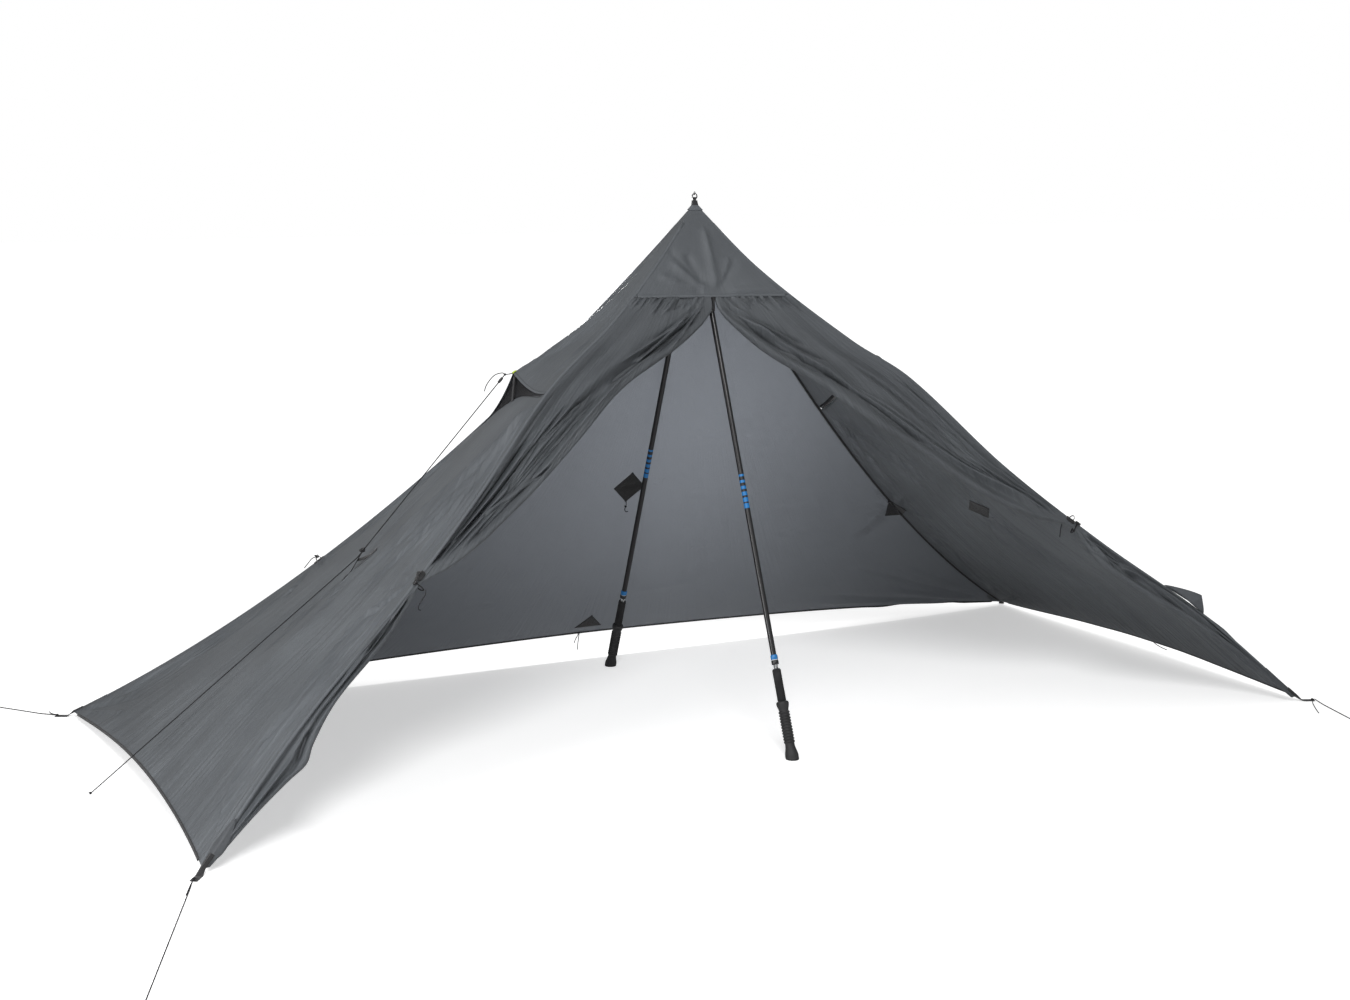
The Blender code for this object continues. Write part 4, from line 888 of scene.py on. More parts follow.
front_cloth = cut_cloth("front_upper_cloth", FRONT, front_surface, END_SLOPE, spread(CLOTH_TOP, DOOR_TOP, 44),
                        even_columns(72), front_folds())
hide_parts("front_upper_panel")
hood_cloth, side_cloth = {}, {}
for side in (-1, 1):
    label = SIDE_NAME[side]
    facet = SIDE_FACET[side]
    hood_cloth[side] = cut_cloth(label + "_hood_cloth", facet, hood_surface(side), SIDE_SLOPE,
                                 spread(CLOTH_TOP, VENT_CORNER, 80), even_columns(72), hood_folds(side),
                                 bottom=hood_edge)
    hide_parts(label + "_vent_hood")
    side_cloth[side] = cut_cloth(label + "_side_cloth", facet, side_surface(side), SIDE_SLOPE,
                                 spread(VENT_CORNER + VENT_GAP, 1.0, 200), even_columns(190),
                                 side_folds(side), top=sill, bottom=side_hem)
    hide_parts(label + "_side_panel")
rear_cloth = cut_cloth("rear_cloth", REAR, rear_surface, END_SLOPE, spread(CLOTH_TOP, 1.0, 130),
                       even_columns(190), rear_folds(), bottom=rear_hem, look=BACK_PAINTED_LIGHT_CLOTH)
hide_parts("rear_panel")


# Gathered door halves

FLAP_WIDTH = {
    -1: [(0.152, 0.1484), (0.175, 0.1690), (0.19, 0.1740), (0.21, 0.1750), (0.26, 0.1655), (0.35, 0.1324),
         (0.42, 0.1186), (0.555, 0.0717), (0.600, 0.0455), (0.622, 0.0152), (0.65, 0.0186), (0.72, 0.0303),
         (0.80, 0.0297), (0.863, 0.0455), (0.888, 0.0566), (0.905, 0.0469), (0.945, 0.0283), (1, 0.0110)],
    1: [(0.152, 0.1484), (0.175, 0.1690), (0.20, 0.1800), (0.29, 0.1931), (0.35, 0.1848), (0.414, 0.1634),
        (0.46, 0.1310), (0.55, 0.1000), (0.60, 0.0552), (0.622, 0.0166), (0.65, 0.0248), (0.713, 0.0552),
        (0.78, 0.0538), (0.85, 0.0359), (0.91, 0.0179), (1, 0.0110)],
}
FLAP_EDGE = 0.0008
FLAP_START = DOOR_TOP + 0.0006


def flap_size(side, t):
    """Visible width of a gathered door half, and the radius of its rolled edge."""
    width = HALF_WIDTH * smooth_curve(FLAP_WIDTH[side], t)
    return width, min(0.011, 0.2 * width) * (0.35 + 0.65 * ease(DOOR_TOP, 0.26, t))


def flap_section(side, t):
    """Reach from the ridge and height across one door half: front layer, rolled edge, layer turned back."""
    width, radius = flap_size(side, t)
    front_end = width - radius
    back_end = max(min(0.010 + 0.3 * width, front_end - 0.004), SEAM_STRIP)
    depth = 0.016 * ease(DOOR_TOP, 0.30, t) * (1 - ease(0.50, 0.60, t))
    depth += 0.006 * ease(0.66, 0.72, t) * (1 - ease(0.90, 1.0, t))
    lean = 1.0 if side < 0 else 0.75
    section = [(FLAP_EDGE, 0.0)]
    for v in spread(0, 1, 84):
        wave = 0.5 - 0.5 * math.cos(4 * math.pi * v**lean)
        section.append((SEAM_STRIP + (front_end - SEAM_STRIP) * v, -depth * wave))
    for angle in range(18, 180, 18):
        turn = math.radians(angle)
        section.append((front_end + radius * math.sin(turn), radius * math.cos(turn) - radius))
    for v in spread(0, 1, 14):
        section.append((front_end + (back_end - front_end) * v, -2 * radius))
    return section


def flap_folds(side):
    """Folds of a gathered half on (distance from the ridge, share of the way down) places."""
    def at(t, inset):
        return (inset, END_SLOPE * t)

    if side < 0:
        folds = [
            (at(0.36, 0.115), at(0.43, 0.070), 0.007, -0.010),
            (at(0.42, 0.070), at(0.49, 0.068), 0.006, -0.008),
            (at(0.455, 0.150), at(0.53, 0.037), 0.006, -0.009),
            (at(0.51, 0.045), at(0.60, 0.008), 0.005, -0.007),
            (at(0.20, 0.215), at(0.34, 0.150), 0.008, -0.010),
            (at(0.18, 0.195), at(0.30, 0.170), 0.006, 0.009),
            (at(0.24, 0.200), at(0.50, 0.110), 0.010, 0.006),
            (at(0.33, 0.160), at(0.58, 0.060), 0.007, -0.006),
            (at(0.64, 0.004), at(0.74, 0.022), 0.004, -0.005),
            (at(0.84, 0.030), at(0.885, 0.060), 0.005, -0.006),
            (at(0.87, 0.040), at(0.97, 0.015), 0.005, 0.004),
        ]
    else:
        folds = [
            (at(0.17, 0.230), at(0.34, 0.235), 0.007, -0.011),
            (at(0.19, 0.215), at(0.40, 0.190), 0.008, 0.008),
            (at(0.25, 0.245), at(0.47, 0.150), 0.007, -0.009),
            (at(0.34, 0.200), at(0.60, 0.050), 0.009, 0.006),
            (at(0.42, 0.160), at(0.60, 0.030), 0.006, -0.006),
            (at(0.30, 0.110), at(0.58, 0.045), 0.012, -0.006),
            (at(0.64, 0.012), at(0.76, 0.050), 0.006, -0.006),
            (at(0.70, 0.040), at(0.88, 0.022), 0.006, 0.005),
        ]
    zip_top = at(DOOR_TOP + 0.006, facet_half(FRONT, DOOR_TOP) - 0.008)
    aims = [at(0.30, 0.120), at(0.32, 0.190), at(0.26, 0.235)]
    folds += rays(95 + side, zip_top, aims, 9, (0.5, 1.0), 0.0045, 0.0050, 0.012)
    chance = random.Random(91 + side)
    for k in range(22):
        inset = 0.012 + 0.185 * k / 21
        length = chance.uniform(0.010, 0.035)
        end = at(DOOR_TOP + length, inset + chance.uniform(-0.004, 0.008))
        rise = chance.choice((-1, 1)) * chance.uniform(0.0018, 0.0036)
        folds.append((at(DOOR_TOP + 0.001, inset), end, 0.0032, rise))
    for k in range(16):
        share = chance.uniform(0.0, 1.0)
        start = at(0.60, 0.010 + 0.03 * share)
        high = chance.uniform(0.30, 0.50)
        end = at(high, flap_size(side, high)[0] * (0.08 + 0.75 * share))
        folds.append((start, end, chance.uniform(0.004, 0.007), chance.choice((-1, 1)) * 0.003))
    for k in range(9):
        share = chance.uniform(0.1, 0.9)
        low = chance.uniform(0.68, 0.86)
        end = at(low, flap_size(side, low)[0] * share)
        folds.append((at(0.635, 0.012), end, 0.0035, chance.choice((-1, 1)) * 0.0024))
    return folds


def door_half(side):
    shares = spread(FLAP_START, 1.0, 190)
    corner = (side, -1)
    bases, cuts, outs, fades = [], [], [], []
    for t in shares:
        half = facet_half(FRONT, t)
        row, cut, out, fade = [], [], [], []
        run = 0.0
        section = flap_section(side, t)
        width = flap_size(side, t)[0]
        for k, (reach, height) in enumerate(section):
            s = side * (1 - reach / half)
            normal = outward(flat_of(FRONT), t, s)
            row.append(facet_point(FRONT, t, s) + normal * height)
            if k:
                run += math.dist(section[k - 1], section[k])
            cut.append((side * run, END_SLOPE * t))
            out.append(normal)
            front_layer = ease(0.0, 0.010, reach) * ease(0.0, 0.012, width - reach)
            back_layer = ease(0.0, 0.02, (width - reach) if run > width else 0.0)
            fade.append((front_layer if run <= width else -0.5 * back_layer, min(reach, width)))
        bases.append(row)
        cuts.append(cut)
        outs.append(out)
        fades.append(fade)
    places = np.array([(reach, END_SLOPE * t) for t, fade in zip(shares, fades) for _, reach in fade])
    lift = creased(places, flap_folds(side)).reshape(len(shares), -1)
    for row, out, fade, height in zip(bases, outs, fades, lift):
        for k, point in enumerate(row):
            row[k] = point + out[k] * float(height[k] * fade[k][0])
    obj = placed_grid(SIDE_NAME[side] + "_door_half", bases, cuts, DOOR_PAINTED_SHADE_CLOTH)
    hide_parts(SIDE_NAME[side] + "_door_flap")
    return obj


door_cloth = {side: door_half(side) for side in (-1, 1)}


# Seams, tapes and bindings

SEAM_REACH = 0.0060
SEAM_OFF = 0.00056
SEAM_THICKNESS = 0.00024
TAPE_REACH = 0.0040
TAPE_OFF = -0.0010
TAPE_THICKNESS = 0.0006
STITCH_PITCH = 0.0032
STITCH_LIFT = 0.0002
STITCH_STEP = 0.0004
CORNER_END = 0.040
DOOR_SEAM_END = 0.012
VENT_EDGE_END = 0.010
BINDING_THICKNESS = 0.0006
COVER_THICKNESS = 0.0004
HEM_STITCHES = ((-0.0024, 0.0014), (-0.0024, -0.0014))
DOOR_STITCHES = ((-0.0026, 0.0013), (0.0026, 0.0013))
VENT_STITCHES = ((-0.0044, 0.0009), (-0.0044, -0.0009))
sewn = {}


def fold(corner, t):
    """Ridge point, its direction down, and for the facets before and after it the normal and the way in."""
    step = 0.004
    point = ridge_point(corner, t)
    down = (ridge_point(corner, min(t + step, 1)) - ridge_point(corner, max(t - step, 0))).normalized()
    sides = []
    for facet in (FRONT, RIGHT, REAR, LEFT):
        if corner not in facet:
            continue
        s = -1 if facet[0] == corner else 1
        normal = outward(flat_of(facet), t, s)
        inward = normal.cross(down).normalized()
        if inward.dot(facet_point(facet, t, 0) - point) < 0:
            inward = -inward
        sides.append((normal, inward))
    return point, down, sides


def folded(corner, t, offset, reach=0.0, which=0):
    """Point of the ridge fold moved out by offset, and reach along one facet."""
    point, _, sides = fold(corner, t)
    (first, _), (second, _) = sides
    return point + (first + second) * (offset / (1 + first.dot(second))) + sides[which][1] * reach


def bent_row(corner, t, offset, reach, count=3):
    """Points over a ridge from one facet to the other."""
    row = [folded(corner, t, offset, reach * u, 0) for u in spread(1, 0, count)]
    return row + [folded(corner, t, offset, reach * u, 1) for u in spread(0, 1, count)[1:]]


def laid_flat(rows):
    """Flat places of the points of a strip, measured along its first row and down its middle."""
    middle = len(rows[0]) // 2
    cuts, down = [], 0.0
    for k, row in enumerate(rows):
        if k:
            down += (row[middle] - rows[k - 1][middle]).length
        across = [0.0]
        for a, b in zip(row, row[1:]):
            across.append(across[-1] + (b - a).length)
        cuts.append([(x - across[middle], down) for x in across])
    return cuts


def strip(name, rows, look, thickness):
    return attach(placed_grid(name, rows, laid_flat(rows), look, thickness), "canopy")


def thread_shape():
    """One stitch, lying along X."""
    deselect()
    bpy.ops.mesh.primitive_ico_sphere_add(subdivisions=1, radius=0.5)
    obj = bpy.context.object
    bpy.ops.object.mode_set(mode="EDIT")
    bpy.ops.transform.resize(value=(0.0025, 0.0006, 0.0005), center_override=(0, 0, 0))
    bpy.ops.object.mode_set(mode="OBJECT")
    points = np.array([tuple(v.co) for v in obj.data.vertices])
    faces = np.array([tuple(p.vertices) for p in obj.data.polygons])
    bpy.data.objects.remove(obj)
    return points, faces


STITCH_POINTS, STITCH_FACES = thread_shape()


def unit(vectors):
    return vectors / np.linalg.norm(vectors, axis=1, keepdims=True)


def stitches(name, lines, look):
    """Rows of stitches, each along a line of points with the normals under it."""
    places, corners, used = [], [], 0
    for points, normals in lines:
        path = np.array([tuple(p) for p in points])
        run = np.concatenate(([0], np.cumsum(np.linalg.norm(np.diff(path, axis=0), axis=1))))
        count = max(int(run[-1] / STITCH_PITCH), 1)
        at = (np.arange(count) + 0.5) * run[-1] / count

        def along_line(values, where):
            return np.stack([np.interp(where, run, values[:, k]) for k in range(3)], axis=1)

        ahead = unit(along_line(path, at + STITCH_STEP) - along_line(path, at - STITCH_STEP))
        up = unit(along_line(np.array([tuple(n) for n in normals]), at))
        across = unit(np.cross(up, ahead))
        axes = np.stack((ahead, across, np.cross(ahead, across)), axis=1)
        centre = along_line(path, at) + up * STITCH_LIFT
        places.append((centre[:, None, :] + STITCH_POINTS @ axes).reshape(-1, 3))
        steps = used + len(STITCH_POINTS) * np.arange(count)
        corners.append((steps[:, None, None] + STITCH_FACES).reshape(-1, 3))
        used += count * len(STITCH_POINTS)
    mesh = bpy.data.meshes.new(name)
    mesh.from_pydata(np.concatenate(places).tolist(), [], np.concatenate(corners).tolist())
    mesh.materials.append(look)
    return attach(linked(bpy.data.objects.new(name, mesh)), "canopy")


RIDGE_STEPS = [CLOTH_TOP + 0.022] + spread(0.04, 0.99, 120)
for corner in CORNERS:
    label = corner_label(corner)
    seam = strip(label + "_ridge_seam", [bent_row(corner, t, SEAM_OFF, SEAM_REACH) for t in RIDGE_STEPS],
                 SEAM_CLOTH, SEAM_THICKNESS)
    lines = []
    for which in (0, 1):
        normals = [fold(corner, t)[2][which][0] for t in RIDGE_STEPS]
        lines.append(([folded(corner, t, SEAM_OFF, 0.75 * SEAM_REACH, which) + n * (SEAM_THICKNESS / 2)
                       for t, n in zip(RIDGE_STEPS, normals)], normals))
    rows = [bent_row(corner, t, TAPE_OFF, TAPE_REACH, 2) for t in RIDGE_STEPS[1:]]
    tape = strip(label + "_seam_tape", rows, BLACK_TAPE, TAPE_THICKNESS)
    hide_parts(label + "_ridge_tape")
    owner = SIDE_NAME[corner[0]] + "_side_cloth"
    sewn.setdefault(owner, []).extend([seam, tape, stitches(label + "_ridge_stitches", lines, GREY_THREAD)])


def edge_stations(rows, short):
    """Point, way off the cloth and normal along a cloth's last row, short of both its ends."""
    line, before = rows[-1], rows[-2]
    found, run = [], 0.0
    total = length_of(line)
    for k in range(1, len(line) - 1):
        run += (line[k] - line[k - 1]).length
        if not short <= run <= total - short:
            continue
        along = (line[k + 1] - line[k - 1]).normalized()
        normal = (line[k] - before[k]).cross(along).normalized()
        found.append((line[k], along.cross(normal), normal))
    return found


def wrapped(name, stations, section, look, thickness):
    """Strip laid round an edge: the section's places are off the edge and out from the cloth."""
    rows = [[point + off * a + normal * b for a, b in section] for point, off, normal in stations]
    return strip(name, rows, look, thickness)


def edge_rows(stations, places):
    """Lines beside an edge for stitches, each at a distance off it and out from the cloth."""
    lines = []
    for a, b in places:
        face = 1 if b > 0 else -1
        lines.append(([point + off * a + normal * b for point, off, normal in stations],
                      [normal * face for _, _, normal in stations]))
    return lines


HEM_SECTION = [(-0.0034, 0.0009), (-0.0017, 0.0011), (0.0010, 0.0011), (0.0024, 0.0010), (0.0031, 0.0006),
               (0.0034, 0.0), (0.0031, -0.0006), (0.0024, -0.0010), (0.0010, -0.0011), (-0.0017, -0.0011),
               (-0.0034, -0.0009)]
EDGE_SECTION = [(-0.0056, 0.00062), (-0.0028, 0.00074), (0.0, 0.00074), (0.0009, 0.00050), (0.0013, 0.0),
                (0.0009, -0.00050), (0.0, -0.00074), (-0.0010, -0.00070)]
SEAM_SECTION = [(-0.0044, 0.0007), (-0.0036, 0.0011), (-0.0012, 0.0010), (0.0, 0.0013), (0.0012, 0.0010),
                (0.0036, 0.0011), (0.0044, 0.0007)]

for cloth, node in (("left_side_cloth", "left_hem_binding"), ("right_side_cloth", "right_hem_binding"),
                    ("rear_cloth", "rear_hem_binding")):
    stations = edge_stations(cloth_rows[cloth], CORNER_END)
    binding = wrapped(node + "_tape", stations, HEM_SECTION, BLACK_TAPE, BINDING_THICKNESS)
    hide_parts(node)
    lines = edge_rows(stations, HEM_STITCHES)
    sewn.setdefault(cloth, []).extend([binding, stitches(node + "_stitches", lines, BLACK_THREAD)])

door_stations = edge_stations(cloth_rows["front_upper_cloth"], DOOR_SEAM_END)
door_seam = wrapped("door_seam_cover", door_stations, SEAM_SECTION, SEAM_CLOTH, COVER_THICKNESS)
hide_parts("door_top_seam")
lines = edge_rows(door_stations, DOOR_STITCHES)
sewn["front_upper_cloth"] = [door_seam, stitches("door_seam_stitches", lines, GREY_THREAD)]


# Side vents: net, prop, tab and pull loop

NET_REACH = 0.955
NET_SET_IN = 0.008
NET_TUCK = 0.003
NET_SLACK = 0.004
NET_THICKNESS = 0.0003
NET_PROBE = 0.03
NET_CLEAR = 0.0006
NET_LEAST = 0.0022
TAB_HALF = 0.0048
TAB_THICKNESS = 0.0009
PULL_LOOP_WIDTH = 0.0065
PULL_LOOP_THICKNESS = 0.0014
TAB_SECTION = [(-0.0090, 0.0012), (-0.0050, 0.0016), (0.0008, 0.0017), (0.0022, 0.0009), (0.0024, 0.0),
               (0.0014, -0.0011), (-0.0005, -0.0013)]


def tree_of(obj):
    mesh = obj.data
    return BVHTree.FromPolygons([v.co for v in mesh.vertices], [tuple(p.vertices) for p in mesh.polygons])


trees = {name: tree_of(bpy.data.objects[name]) for name in cloth_rows}


def strap_along(name, points, across, width, thickness, look=BLACK_WEBBING):
    """Flat strap through the points."""
    rows = [[point + across * (width * u) for u in spread(-0.5, 0.5, 4)] for point in points]
    return strip(name, rows, look, thickness)


def vent_net(side):
    """Net that hangs from under the hood to the cloth below, a little slack."""
    surface, lower = hood_surface(side), side_surface(side)
    label = SIDE_NAME[side]
    tops, bottoms = [], []
    for s in spread(-NET_REACH, NET_REACH, 120):
        place = surface(hood_edge(s) - NET_SET_IN / SIDE_SLOPE, s)
        over = trees[label + "_hood_cloth"].ray_cast(place - UP * NET_PROBE, UP)[0]
        place = lower(sill(s) + NET_TUCK / SIDE_SLOPE, s)
        under = trees[label + "_side_cloth"].ray_cast(place + UP * NET_PROBE, -UP)[0]
        if over and under and over.z - under.z > NET_LEAST:
            tops.append(over - UP * NET_CLEAR)
            bottoms.append(under + UP * NET_CLEAR)
    rows, cuts = [], []
    for k in spread(0, 1, 24):
        slack = Vector((-side * NET_SLACK * math.sin(math.pi * k), 0, 0))
        rows.append([a.lerp(b, k) + slack * min((a - b).length / 0.1, 1) for a, b in zip(tops, bottoms)])
        cuts.append([((a - tops[0]).length, k * (a - b).length) for a, b in zip(tops, bottoms)])
    net = placed_grid(label + "_vent_net", rows, cuts, FINE_NET, NET_THICKNESS)
    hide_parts(label + "_vent_mesh")
    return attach(net, "canopy")


SAME_POINT = 0.00001
FLAT_ANGLE = math.radians(3)
EDGE_ANGLE = math.radians(35)
ROUND_ANGLE = math.radians(38)
HOLE_ANGLE = math.radians(40)


def dressed(node, name, look, body, edge):
    """Solid with its flat faces joined, its edges rounded and its round faces shaded smooth."""
    mesh = nodes[node].data.copy()
    mesh.name = name
    mesh.materials.clear()
    mesh.materials.append(look)
    obj = linked(bpy.data.objects.new(name, mesh))
    select_only(obj)
    start_edit()
    bpy.ops.mesh.remove_doubles(threshold=SAME_POINT)
    bpy.ops.mesh.dissolve_limited(angle_limit=FLAT_ANGLE)
    end_edit()
    if edge:
        rounding = obj.modifiers.new("rounding", "BEVEL")
        rounding.width = edge
        rounding.segments = 3
        rounding.limit_method = "ANGLE"
        rounding.angle_limit = EDGE_ANGLE
        bpy.ops.object.modifier_apply(modifier="rounding")
    bpy.ops.object.shade_smooth_by_angle(angle=EDGE_ANGLE)
    deselect()
    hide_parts(node)
    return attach(obj, body)


nets = {}
for side in (-1, 1):
    label = SIDE_NAME[side]
    hood, side_name = label + "_hood_cloth", label + "_side_cloth"
    nets[side] = vent_net(side)
    for cloth, rows in ((hood, cloth_rows[hood]), (side_name, cloth_rows[side_name][::-1])):
        stations = edge_stations(rows, VENT_EDGE_END)
        binding = wrapped(cloth + "_vent_edge", stations, EDGE_SECTION, SEAM_CLOTH, COVER_THICKNESS)
        lines = edge_rows(stations, VENT_STITCHES)
        sewn.setdefault(cloth, []).extend([binding, stitches(cloth + "_vent_stitches", lines, GREY_THREAD)])
    dressed(label + "_vent_strut", label + "_vent_prop", BLACK_WEBBING, label + "_strut", 0.0008)
    rows = cloth_rows[hood]
    middle = len(rows[-1]) // 2
    tip = rows[-1][middle]
    off = (tip - rows[-2][middle]).normalized()
    normal = off.cross(Vector((0, -side, 0))).normalized()
    if normal.z < 0:
        normal = -normal
    across = Vector((0, 1, 0))
    stations = [(tip + across * y, off, normal) for y in spread(-TAB_HALF, TAB_HALF, 4)]
    tab = wrapped(label + "_vent_tab", stations, TAB_SECTION, YELLOW_TAB, TAB_THICKNESS)
    knot_place = guylines[label + "_vent_guyline"][0]
    path = rounded([tip + off * 0.0018, tip.lerp(knot_place, 0.5) - UP * 0.001, knot_place], 4)
    pull = strap_along(label + "_vent_pull_loop", path, across, PULL_LOOP_WIDTH, PULL_LOOP_THICKNESS)
    sewn[hood] += [tab, pull]


# Peak: cap, ring, hang loop and the cup that takes the pole tips

LUG_HEIGHT = PEAK_HEIGHT + 0.0095
CAP_SHOULDER = PEAK_HEIGHT - 0.0072
RING_RADIUS = 0.0065
RING_WIRE = 0.0015
LOOP_RADIUS = 0.0036
LOOP_STRAND = 0.0008
LOOP_LIFT = 0.0010


def round_ring(name, centre, turn, radius, wire, look, body):
    deselect()
    bpy.ops.mesh.primitive_torus_add(location=centre, rotation=turn, major_radius=radius, minor_radius=wire,
                                     major_segments=40, minor_segments=14)
    obj = bpy.context.object
    obj.name = obj.data.name = name
    bpy.ops.object.transform_apply(location=True, rotation=True, scale=True)
    bpy.ops.object.shade_smooth()
    obj.data.materials.append(look)
    deselect()
    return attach(obj, body)


cap = dressed("peak_cap", "peak_cap_webbing", BLACK_WEBBING, "canopy", 0.0006)
cap.data.materials.append(SEAM_CLOTH)
for face in cap.data.polygons:
    face.material_index = int(face.center.z < CAP_SHOULDER)
dressed("pole_cup", "pole_cup_webbing", BLACK_WEBBING, "canopy", 0.0008)
ring = round_ring("peak_tie_ring", UP * (LUG_HEIGHT + RING_RADIUS), (math.pi / 2, 0, 0), RING_RADIUS,
                  RING_WIRE, BLACK_PLASTIC, "ring")
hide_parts("peak_ring")
hang = round_ring("peak_cord_loop", UP * (LUG_HEIGHT + 2 * RING_RADIUS + LOOP_LIFT), (0, math.pi / 2, 0),
                  LOOP_RADIUS, LOOP_STRAND, BLACK_CORD, "ring")
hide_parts("peak_hang_loop")


# Corner patches and straps

PATCH_KNOTS = [(0.945, 0.004), (0.962, 0.017), (0.978, 0.019), (0.990, 0.012), (1.0, 0.006)]
PATCH_OFF = 0.00125
PATCH_THICKNESS = 0.0006
STRAP_OFF = 0.00235
STRAP_LOW = 0.0013
STRAP_THICKNESS = 0.0015
STRAP_HALF = 0.008
EYE_RADIUS = 0.0035
EYE_CUT = 0.02
EYELET_WIRE = 0.0007
STRAP_STITCH = 0.78


def cut_hole(obj, centre, radius, length):
    """Round upright hole through a piece."""
    deselect()
    bpy.ops.mesh.primitive_cylinder_add(vertices=28, radius=radius, depth=length, location=centre)
    cutter = bpy.context.object
    select_only(obj)
    hole = obj.modifiers.new("hole", "BOOLEAN")
    hole.object = cutter
    hole.operation = "DIFFERENCE"
    bpy.ops.object.modifier_apply(modifier="hole")
    bpy.data.objects.remove(cutter)
    bpy.ops.object.shade_smooth_by_angle(angle=HOLE_ANGLE)
    obj.select_set(False)


for corner in CORNERS:
    label = corner_label(corner)
    tip = ridge_point(corner, 1.0)
    base = Vector((tip.x, tip.y, 0))
    way = Vector((*STRAP_WAY[corner], 0)).normalized()
    across = Vector((-way.y, way.x, 0))
    if across.dot(fold(corner, 1.0)[2][0][1]) < 0:
        across = -across
    rows = [bent_row(corner, t, PATCH_OFF, smooth_curve(PATCH_KNOTS, t), 4) for t in spread(0.945, 0.998, 18)]
    patch = strip(label + "_corner_reinforcement", rows, REINFORCEMENT, PATCH_THICKNESS)
    rows = [bent_row(corner, t, STRAP_OFF, STRAP_HALF, 4) for t in (0.984, 0.988, 0.992, 0.996, 0.999)]
    for distance in (0.014, 0.022, 0.030, 0.038, STRAP_END):
        height = UP * (STRAP_LOW + 0.0010 * max(0.022 - distance, 0) / 0.008)
        rows.append([base + way * distance + height + across * (STRAP_HALF * u) for u in spread(1, -1, 7)])
    columns = [rounded(list(column), 4) for column in zip(*rows)]
    rows = [list(row) for row in zip(*columns)]
    strap = strip(label + "_corner_strap", rows, BLACK_WEBBING, STRAP_THICKNESS)
    eye = base + way * STRAP_EYE
    cut_hole(strap, eye, EYE_RADIUS, EYE_CUT)
    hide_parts(label + "_corner_tie_out")
    eyelet = round_ring(label + "_corner_eyelet", eye + UP * (STRAP_LOW + STRAP_THICKNESS / 2), (0, 0, 0),
                        EYE_RADIUS + 0.0008, EYELET_WIRE, BLACK_PLASTIC, "canopy")
    lines = []
    for u in (-STRAP_STITCH, STRAP_STITCH):
        places = [folded(corner, t, STRAP_OFF + STRAP_THICKNESS / 2, STRAP_HALF * abs(u), 0 if u > 0 else 1)
                  for t in spread(0.9855, 0.997, 6)]
        lines.append((places, [fold(corner, 0.99)[2][0 if u > 0 else 1][0]] * len(places)))
    sewn[SIDE_NAME[corner[0]] + "_side_cloth"] += [patch, strap, eyelet,
                                                   stitches(label + "_strap_stitches", lines, BLACK_THREAD)]


# Tie-outs on the ridges

ARCH_HALF = 0.006
ARCH_HEIGHT = 0.009
ARCH_SUNK = 0.0008
ARCH_OFF = 0.0021
ARCH_WIDTH = 0.0052
WEBBING_THICKNESS = 0.0011
TIE_PATCH_OFF = 0.0016
TIE_STITCH_LIFT = 0.0006
FRONT_TIE_SIZE = (0.0063, 0.011)
REAR_TIE_SIZE = (0.0073, 0.014)


def arch_points(base, along, out):
    """Points of an arch that stands on a base point."""
    points = [base - along * ARCH_HALF - out * ARCH_SUNK]
    for k in spread(0, math.pi, 14):
        points.append(base - along * (ARCH_HALF * math.cos(k)) + out * (ARCH_HEIGHT * math.sin(k)))
    return points + [base + along * ARCH_HALF - out * ARCH_SUNK]


def rounded_outline(v):
    """Width of a patch with rounded ends, v from -1 to 1."""
    return 0.62 + 0.38 * math.sqrt(max(1 - v**4, 0))


for corner in CORNERS:
    label = corner_label(corner)
    front = corner[1] < 0
    t = FRONT_TIE if front else REAR_TIE
    half, reach = FRONT_TIE_SIZE if front else REAR_TIE_SIZE
    rows = [bent_row(corner, t + half * v, TIE_PATCH_OFF, reach * rounded_outline(v), 4)
            for v in spread(-1, 1, 12)]
    patch = strip(label + "_tie_patch", rows, BLACK_WEBBING, WEBBING_THICKNESS)
    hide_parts(label + "_ridge_tie_out")
    _, down, sides = fold(corner, t)
    out = (sides[0][0] + sides[1][0]).normalized()
    arch = arch_points(folded(corner, t, ARCH_OFF), down, out)
    loop = strap_along(label + "_tie_loop", arch, down.cross(out).normalized(), ARCH_WIDTH, WEBBING_THICKNESS)
    lines = []
    for which in (0, 1):
        normal = sides[which][0]
        places = []
        for v in spread(-0.85, 0.85, 8):
            inset = reach * rounded_outline(v) * 0.8
            place = folded(corner, t + half * v, TIE_PATCH_OFF, inset, which)
            places.append(place + normal * TIE_STITCH_LIFT)
        lines.append((places, [normal] * len(places)))
    sewn[SIDE_NAME[corner[0]] + "_side_cloth"] += [patch, loop,
                                                   stitches(label + "_tie_stitches", lines, BLACK_THREAD)]


# Turned pieces

